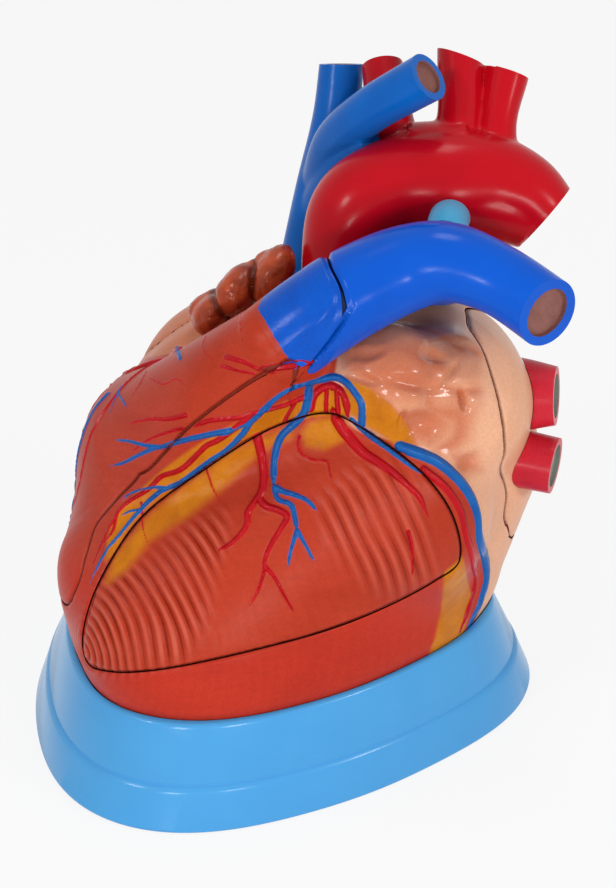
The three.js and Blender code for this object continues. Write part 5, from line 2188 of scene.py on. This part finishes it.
    def walls(self, trunk: Thing) -> None:
        """The four removable walls.

        Args:
            trunk: the pulmonary trunk before it is cut.
        """
        shop = self.shop
        for wall in WALLS:
            cast = shop.copy(self.skin, wall.chamber + "_wall_cast")
            if wall.chamber == "right_ventricle":
                flap = self.flap(trunk)
                shop.cut(cast, "UNION", flap)
                shop.discard(flap)
            shop.cut(cast, "INTERSECT", self.tight[wall.chamber])
            shop.cut(cast, "DIFFERENCE", self.core, *self.spaces, *self.passages,
                *self.pockets[wall.chamber][0])
            shop.largest(cast)
            self.repaint(cast)
            if wall.chamber == "right_ventricle":
                self.edge_plate(cast)
            slot = "atrium" if wall.chamber.endswith("atrium") else "muscle"
            shop.finish(cast, wall.chamber, slot, wall.chamber + "_wall")

    def flap(self, trunk: Thing) -> Thing:
        """The trunk's root as the right ventricle's wall carries it: a plate with a rounded edge.

        Args:
            trunk: the pulmonary trunk before it is cut.

        Returns:
            the plate.
        """
        made = self.shop.copy(trunk, "flap")
        p = self.coordinates(made)
        inside = WALLS[1].margin(p)
        lift = 0.5 - 1.5 * np.clip(1 + inside / 1.8, 0, 1) ** 2
        self.move(made, p + self.normals(made) * lift[:, None])
        for name, values in (("conus", 0.5 + Relief.conus(self.form, p) / 8), ("rosy", np.ones(len(p)))):
            paint(made, name, np.clip(values, 0, 1))
        made.data.materials.clear()
        made.data.materials.append(self.palette["skin"])
        return made

    def edge_plate(self, cast: Thing) -> None:
        """Paints the cut sides of the trunk's plate: above a height dark navy, as painted shade as dark as
        the gap beside it, and below it the trunk's blue.

        Args:
            cast: the right ventricle's wall.
        """
        mesh = cast.data
        used = read(mesh.polygons, "material_index", 1, np.int32)
        centres = read(mesh.polygons, "center", 3).astype(float) / MM
        beyond = Relief.conus(self.form, centres) > -3
        beyond &= used == mesh.materials.find(self.palette["seam"].name)
        for finish, high in (("trunk", False), ("trunk_edge_shade", True)):
            mesh.materials.append(self.palette[finish])
            used[beyond & ((centres[:, 2] > self.sizes.trunk_edge_height) == high)] = len(mesh.materials) - 1
        mesh.polygons.foreach_set("material_index", used)

    def groove(self, trunk: Thing) -> None:
        """Sinks the fixed trunk beside the wall's plate, deepest at its rounded end.

        Args:
            trunk: the pulmonary trunk.
        """
        p = self.coordinates(trunk)
        outside = WALLS[1].margin(p)
        right = smoothstep(14, 30, p[:, 0])
        sink = (0.9 + 2.4 * right) * np.clip(1 - np.maximum(outside, 0) / (1.6 + 1.4 * right), 0, 1) ** 1.2
        self.move(trunk, p - self.normals(trunk) * sink[:, None])

    def vessel_blank(self, plan: VesselPlan) -> Thing:
        """A great vessel's joined bars, before the heart is cut from it.

        Args:
            plan: the vessel.

        Returns:
            the joined bars.
        """
        shop = self.shop
        material = self.palette[plan.finish]
        parts = [shop.bar(plan.node, bar, material, overrun=9.0 if plan.bored else 0.0) for bar in plan.bars]
        parts += [shop.bar("fill", bar, material) for bar in plan.fill]
        made = parts[0]
        if len(parts) > 1:
            shop.cut(made, "UNION", *parts[1:])
        if plan.fuse:
            shop.fused(made, 1.6 if shop.quick else 0.9, 4 if shop.quick else 12, material)
        trims = [shop.plug("trim", *bar.end_face(), bar.radii[-1] * 1.8, 0, 18, material)
            for bar in plan.ends]
        if trims:
            shop.cut(made, "DIFFERENCE", *trims)
        shop.discard(*parts[1:], *trims)
        made.name = made.data.name = plan.node + "_cast"
        return made

    def vessel(self, plan: VesselPlan, blank: Thing, *tools: Thing) -> None:
        """A great vessel, seated on the heart, with shallow bores at its cut ends.

        Args:
            plan: the vessel.
            blank: its joined bars.
            tools: what is cut from it.
        """
        shop, lumen = self.shop, self.palette[plan.lumen]
        bores = [shop.plug("bore", *bar.end_face(), bar.radii[-1] * plan.rim_share, plan.recess, 1, lumen)
            for bar in plan.ends]
        shop.cut(blank, "DIFFERENCE", *tools, *bores)
        shop.largest(blank)
        shop.discard(*bores)
        slot = {"aorta": "artery", "cava": "vein", "vein": "artery"}.get(plan.finish, plan.finish)
        shop.finish(blank, plan.body, slot, plan.node)

    def vessels(self) -> None:
        """All the great vessels, and the walls, one of which carries the trunk's root."""
        shop = self.shop
        blanks = {plan.node: self.vessel_blank(plan) for plan in VESSELS}
        self.walls(blanks["pulmonary_trunk"])
        opening = shop.copy(self.loose["right_ventricle"], "opening")
        opening.data.materials[0] = self.palette["trunk"]
        seats = {"pulmonary_trunk": [opening, self.outflow_bore], "aorta": [self.root_bore]}
        arch_seat = shop.bar("arch_seat", ARCH.grown(0.9), self.palette["aorta"])
        trunk_seat = shop.bar("trunk_seat", TRUNK.grown(0.9), self.palette["trunk"])
        seats["ligamentum_arteriosum"] = [arch_seat, trunk_seat]
        self.groove(blanks["pulmonary_trunk"])
        for plan in VESSELS:
            self.vessel(plan, blanks[plan.node], self.skin_seat, *seats.get(plan.node, []))
        self.auricle(arch_seat)
        shop.discard(arch_seat, trunk_seat, opening)

    def auricle(self, arch_seat: Thing) -> None:
        """The right auricle's three wrinkled lobes.

        Args:
            arch_seat: keeps it clear of the aorta.
        """
        shop = self.shop
        core = round_cone(row(-25, 34, 179), row(5, 35, 202), 9, 9)
        forms = [leaning_lobe(*lobe) for lobe in LOBES]
        moulds = [(form, row(*lobe[0]), 6, 30) for form, lobe in zip(forms, LOBES)]
        moulds.append((core, row(-10, 34.5, 190.5), 6, 40))
        lobes = [shop.moulded("lobe", *mould, self.palette["auricle"]) for mould in moulds]
        made = shop.cut(lobes[0], "UNION", *lobes[1:])
        shop.fused(made, 1.2 if shop.quick else 0.7, 2, self.palette["auricle"])
        p, normals = self.coordinates(made), self.normals(made)
        nearest = np.sort([form(p) for form in forms], axis=0)
        crease = np.clip(1 - (nearest[1] - nearest[0]) / 3.2, 0, 1)
        folds = smooth_noise(p, 8, 52)
        wrinkles = np.abs(smooth_noise(p + 2 * folds[:, None], 5, 53))
        sink = 0.6 * folds + 0.5 * wrinkles - 0.8 - 0.9 * crease ** 2
        self.move(made, p + normals * sink[:, None])
        # The crease value sets where the painted shade falls; the same value sinks the creases above
        paint(made, "crease", np.clip(crease - 0.35 * folds, 0, 1))
        shop.cut(made, "DIFFERENCE", self.skin_seat, arch_seat)
        shop.largest(made)
        shop.discard(*lobes[1:])
        made.name = "right_auricle_cast"
        shop.finish(made, "heart", "auricle", "right_auricle")

    def leaflets(self, name: str, ring: Ring, count: int) -> None:
        """A ring of leaflets, deepest in the middle of each.

        Args:
            name: the valve's name.
            ring: the valve's ring.
            count: how many leaflets it has.
        """
        rows, sides = 16, 96
        fitted = ring.radius - 0.3
        share = np.linspace(0, 1, rows)
        sections = []
        for angle in np.linspace(0, 2 * np.pi, sides, endpoint=False):
            lobe = abs(math.sin(count * angle / 2))
            ripple = 0.5 * math.sin(9 * angle) * share**2
            reach = fitted * (1 - 0.38 * share**1.4) + ripple - 0.5 * share
            outer = np.stack([reach, self.sizes.leaflet_depth * (0.5 + 0.5 * lobe) * share], axis=1)
            inner = outer - [1.6, 0]
            sections.append(np.vstack([inner, outer[::-1]]))
        self.skirt(name, ring, np.array(sections))

    def cusps(self, name: str, ring: Ring) -> None:
        """A ring of three pockets whose free edges nearly meet.

        Args:
            name: the valve's name.
            ring: the valve's ring.
        """
        rows, sides = 14, 96
        fitted = ring.radius * math.cos(math.pi / 10) - 0.6
        share = np.linspace(0, 1, rows)
        sections = []
        for angle in np.linspace(0, 2 * np.pi, sides, endpoint=False):
            post = abs(math.cos(1.5 * angle))
            edge = fitted * (0.2 + 0.6 * post**3)
            sag = np.sin(np.pi * share) * 0.4 * (1 - post)
            lower = np.stack([fitted + (edge - fitted) * share, 9 * (share - sag)], axis=1)
            sections.append(np.vstack([lower, (lower + [0, 1.6])[::-1]]))
        self.skirt(name, ring, np.array(sections))

    def skirt(self, name: str, ring: Ring, sections: Array) -> None:
        """A closed skin round a ring, from its sections as (radius, height).

        Args:
            name: the valve's name.
            ring: the valve's ring.
            sections: a closed section for each direction.
        """
        sides, count, _ = sections.shape
        turn = Vector((0, 0, 1)).rotation_difference(Vector(ring.flow)).to_matrix()
        angles = np.linspace(0, 2 * np.pi, sides, endpoint=False)[:, None]
        radii, heights = sections[:, :, 0], sections[:, :, 1]
        local = np.stack([radii * np.cos(angles), radii * np.sin(angles), heights], axis=2).reshape(-1, 3)
        vertices = local @ np.array(turn).T + ring.point
        faces = np.array(ring_faces(sides + 1, count)) % (sides * count)
        made = self.shop.solid(name + "_cast", vertices, faces, self.palette["leaflet"])
        weld(made)
        self.shop.finish(made, "heart", "leaflet", name, sharp=60)

    def papillaries(self) -> None:
        """The papillary muscles with their cords."""
        growth = Repeats.cords()
        left, right = (WALLS[0], self.mitral), (WALLS[1], self.tricuspid)
        plans = (("left_front", 130, left), ("left_back", 230, left), ("right_front", 105, right),
            ("right_septal", 180, right), ("right_back", 255, right))
        for name, degrees, side in plans:
            self.papillary(name, math.radians(degrees), *side, growth)

    def papillary(self, name: str, turn: float, wall: WallPlan, ring: Ring, growth: Tree) -> None:
        """A papillary muscle with its three cords.

        Args:
            name: which one it is.
            turn: where it stands round the flow, counted from the wall's pull.
            wall: the wall of its ventricle.
            ring: the valve that its cords hold.
            growth: makes cords of lines.
        """
        shop, flesh = self.shop, self.palette["papillary"]
        field, middle = self.rooms[wall.chamber]
        pull, flow = wall.plane.pull, ring.flow
        start = unit(*(pull - flow * (pull @ flow)))

        def round_flow(angle: float) -> Array:
            """A direction square to the flow, at an angle round it."""
            return np.array(Matrix.Rotation(angle, 3, Vector(flow)) @ Vector(start))

        out = unit(*(flow * 1.2 + round_flow(turn)))
        reach = norm(shop.slide(field, middle, out[None], 1)[0] - middle)
        root = middle + out * (reach + 6.5)
        mouth = ring.point + flow * (self.sizes.leaflet_depth + 0.3 + self.sizes.cord_radius)
        tip = (root + mouth) / 2
        knots = (tuple(root), tuple((root + tip) / 2), tuple(tip))
        muscle = shop.bar("muscle", Bar(knots, (7.8, 6.5, 2.9)), flesh)
        p, normals = self.coordinates(muscle), self.normals(muscle)
        flutes = 0.5 * smooth_noise(p * row(1, 1, 0.5), 5, 61) - 0.4
        flutes *= np.clip(norm(p - tip, axis=1) / 6, 0, 1)
        self.move(muscle, p + normals * flutes[:, None])
        seat = shop.moulded("seat", inset(field, 0.9), middle, 6, 1, flesh)
        shop.cut(muscle, "INTERSECT", seat)
        start_at = tip + (root - tip) * 0.12
        shares = np.arange(8)[:, None] / 7
        ends = [mouth + round_flow(turn + offset) * ring.radius * 0.52 for offset in (-0.4, 0.0, 0.4)]
        points = np.vstack([start_at + (end - start_at) * shares for end in ends])
        lines = bpy.data.meshes.new(name + "_cords")
        lines.from_pydata((points * MM).tolist(), [(i, i + 1) for i in range(23) if i % 8 < 7], [])
        cords = Repeats.grow(placed(lines.name, lines), growth, self.palette["cord"],
            self.sizes.cord_radius, 1.0)
        weld(cords)
        shop.cut(muscle, "UNION", cords)
        shop.largest(muscle)
        shop.discard(seat, cords)
        muscle.name = muscle.data.name = name + "_papillary_cast"
        shop.finish(muscle, "heart", "muscle", name + "_papillary_muscle", sharp=50)

    def magnets(self) -> None:
        """The magnets, as one piece for each set of one body."""
        discs = Repeats.discs()
        for wall in WALLS:
            for side, body in (("wall", wall.chamber), ("seat", "heart")):
                start = f"{wall.chamber}_{side}_magnet_"
                names = sorted(name for name in self.nodes if name.startswith(start))
                places = [self.magnet_place(self.nodes[name]) for name in names]
                mesh = bpy.data.meshes.new(f"{wall.chamber}_{side}_magnets")
                mesh.from_pydata([tuple(centre * MM) for centre, _ in places], [], [])
                layer = mesh.attributes.new("out", "FLOAT_VECTOR", "POINT")
                layer.data.foreach_set("vector", np.array([out for _, out in places], np.float32).ravel())
                made = Repeats.grow(placed(mesh.name, mesh), discs, self.palette["magnet"],
                    self.sizes.magnet_radius, self.sizes.magnet_thickness)
                self.shop.finish(made, body, "magnet", *names, sharp=30)

    def clear(self) -> None:
        """Removes every tool."""
        pockets = [pocket for pair in self.pockets.values() for side in pair for pocket in side]
        self.shop.discard(self.skin, self.skin_seat, self.core, self.core_seat, *self.spaces, *self.passages,
            *pockets, *self.loose.values(), *self.tight.values())


def weld(made: Thing) -> None:
    """Joins a mesh's doubled points.

    Args:
        made: the object.
    """
    shape = bmesh.new()
    shape.from_mesh(made.data)
    bmesh.ops.remove_doubles(shape, verts=shape.verts, dist=1e-6)
    bmesh.ops.recalc_face_normals(shape, faces=shape.faces)
    shape.to_mesh(made.data)
    shape.free()


class Stand:
    """The glossy two-step cradle."""

    def __init__(self, shop: Workshop, palette: Palette, form: HeartForm) -> None:
        """Starts the stand of a heart's form."""
        self.shop = shop
        self.palette = palette
        self.form = form

    def build(self) -> None:
        """Turns the rounded triangle and cuts the heart's seat in it."""
        sizes, shop, paint = self.form.stand, self.shop, self.palette["stand"]
        rim = sizes.bulk_radius + sizes.rim_lip
        tier = rim + sizes.tier_lean
        shoulder = tier + sizes.shoulder_step
        foot = shoulder + sizes.foot_lean
        profile = [(foot - 2.0, 0), (foot - 1.1, 0.25), (foot - 0.5, 0.9), (foot - 0.3, 2.0)]
        profile += [(shoulder + 0.75, 16.6), (shoulder + 0.45, 17.9), (shoulder - 0.1, 18.8)]
        profile += [(shoulder - 0.8, 19.4), (tier + 0.1, 19.7), (tier - 0.5, 20.0), (tier - 0.62, 20.5)]
        profile += [(tier - 0.5, 21.1), (tier - 0.42, 21.8), (rim + 0.6, 44.0), (rim + 0.35, 45.0)]
        profile += [(rim - 0.3, 45.8), (rim - 1.2, 46.3), (rim - 2.4, 46.4)]
        sides = 240
        angles = np.linspace(0, 2 * np.pi, sides, endpoint=False)
        round_about = np.stack([np.cos(angles), np.sin(angles)], axis=1) * sizes.swell(angles)[:, None]
        rings = [np.column_stack([wide * round_about, np.full(sides, high)]) for wide, high in profile]
        vertices = np.vstack([*rings, [[0, 0, 0], [0, 0, sizes.rim_height]]])
        top = len(vertices) - 1
        last = top - 1 - sides
        caps = []
        for side, after in zip(range(sides), [*range(1, sides), 0]):
            caps += [(top - 1, after, side), (top, last + side, last + after)]
        stand = shop.solid("stand_cast", vertices, ring_faces(len(profile), sides) + caps, paint)
        seat = inset(self.form.heart, -sizes.cradle_gap)
        resting = shop.moulded("resting", seat, self.form.middle, 7, RAY_START, paint)
        floor = shop.floor(sizes.seat_floor, paint)
        shop.cut(resting, "DIFFERENCE", floor)
        shop.cut(stand, "DIFFERENCE", resting)
        shop.discard(resting, floor)
        shop.finish(stand, "stand", "stand", "stand_base", sharp=32)


@dataclass(frozen=True)
class Softbox:
    """A square lamp: where it stands, what it looks at, its side and its power."""

    name: str
    place: tuple[float, float, float]
    side: float
    power: float


class Studio:
    """A white room with soft lamps, and the picture's camera."""

    daylight = 0.37
    shadow = 0.14
    lamps = (Softbox("key", (-1.0, -0.9, 1.1), 0.26, 6.2), Softbox("fill", (1.2, -0.7, 0.7), 0.24, 4.9),
        Softbox("front", (0.42, -1.15, 0.3), 0.18, 2.5), Softbox("low", (-0.3, -1.25, 0.32), 0.2, 3.0),
        Softbox("top", (0.1, 0.3, 1.5), 0.4, 3.6))

    @staticmethod
    def backdrop(sheet: NodeSheet) -> Socket:
        """One for what the camera sees, straight or mirrored, and zero for the light on the object.

        Args:
            sheet: the tree's sheet.

        Returns:
            the value.
        """
        path = sheet.add("ShaderNodeLightPath")
        mirrored = sheet.maths("MAXIMUM", path.outputs["Is Glossy Ray"], path.outputs["Is Transmission Ray"])
        return sheet.maths("MAXIMUM", path.outputs["Is Camera Ray"], mirrored)

    def build(self) -> None:
        """Makes the world, the floor, the lamps and the camera."""
        bpy.context.scene.view_settings.view_transform = "Standard"
        self.room()
        self.ground()
        aim = Vector((0.02, 0, 0.13))
        for lamp in self.lamps:
            light = bpy.data.lights.new(lamp.name, "AREA")
            light.size = lamp.side
            light.energy = lamp.power
            holder = placed(lamp.name, light)
            holder.location = lamp.place
            holder.rotation_euler = (aim - Vector(lamp.place)).to_track_quat("-Z", "Y").to_euler()
        camera = bpy.data.cameras.new("camera")
        camera.sensor_width = 36
        camera.lens = FrontView.focal / FrontView.frame_height * camera.sensor_width
        holder = placed("camera", camera)
        holder.location = FrontView().eye * MM
        holder.rotation_euler = (math.pi / 2 - FrontView.pitch, 0, 0)
        bpy.context.scene.camera = holder

    def room(self) -> None:
        """Makes the world: white to the camera, dimmer as light."""
        world = bpy.context.scene.world = bpy.data.worlds.new("room")
        world.use_nodes = True
        world.node_tree.nodes.clear()
        sheet = NodeSheet(world.node_tree)
        strength = sheet.maths("MAXIMUM", self.backdrop(sheet), self.daylight)
        light = sheet.add("ShaderNodeBackground", Color=(1, 1, 1, 1), Strength=strength)
        sheet.add("ShaderNodeOutputWorld", Surface=light.outputs[0])

    def ground(self) -> None:
        """Makes the floor, which is white apart from a soft shadow."""
        mesh = bpy.data.meshes.new("floor")
        mesh.from_pydata([(-4, -4, 0), (4, -4, 0), (4, 4, 0), (-4, 4, 0)], [], [(0, 1, 2, 3)])
        material, sheet = PaintBox.blank("floor")
        white = sheet.add("ShaderNodeEmission", Color=(1, 1, 1, 1), Strength=1.0).outputs[0]
        matt = sheet.add("ShaderNodeBsdfDiffuse", Color=(0.8, 0.8, 0.8, 1)).outputs[0]
        share = sheet.times(self.backdrop(sheet), 1 - self.shadow)
        mixed = sheet.add("ShaderNodeMixShader", _0=share, _1=matt, _2=white).outputs[0]
        sheet.add("ShaderNodeOutputMaterial", Surface=mixed)
        mesh.materials.append(material)
        placed("floor", mesh)


def main() -> None:
    """Builds the heart in its studio."""
    logging.basicConfig(level=logging.INFO, format="%(name)s %(message)s")
    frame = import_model()
    Studio().build()
    palette = Palette()
    shop = Workshop(bool(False))
    anatomy = Anatomy(shop, palette, frame["nodes"])
    Stand(shop, palette, anatomy.form).build()
    anatomy.heart_body()
    anatomy.vessels()
    anatomy.leaflets("mitral_valve", anatomy.mitral, 2)
    anatomy.leaflets("tricuspid_valve", anatomy.tricuspid, 3)
    anatomy.cusps("aortic_valve", anatomy.aortic)
    anatomy.cusps("pulmonary_valve", anatomy.pulmonary)
    anatomy.papillaries()
    anatomy.magnets()
    anatomy.clear()


if __name__ == "__main__":
    main()
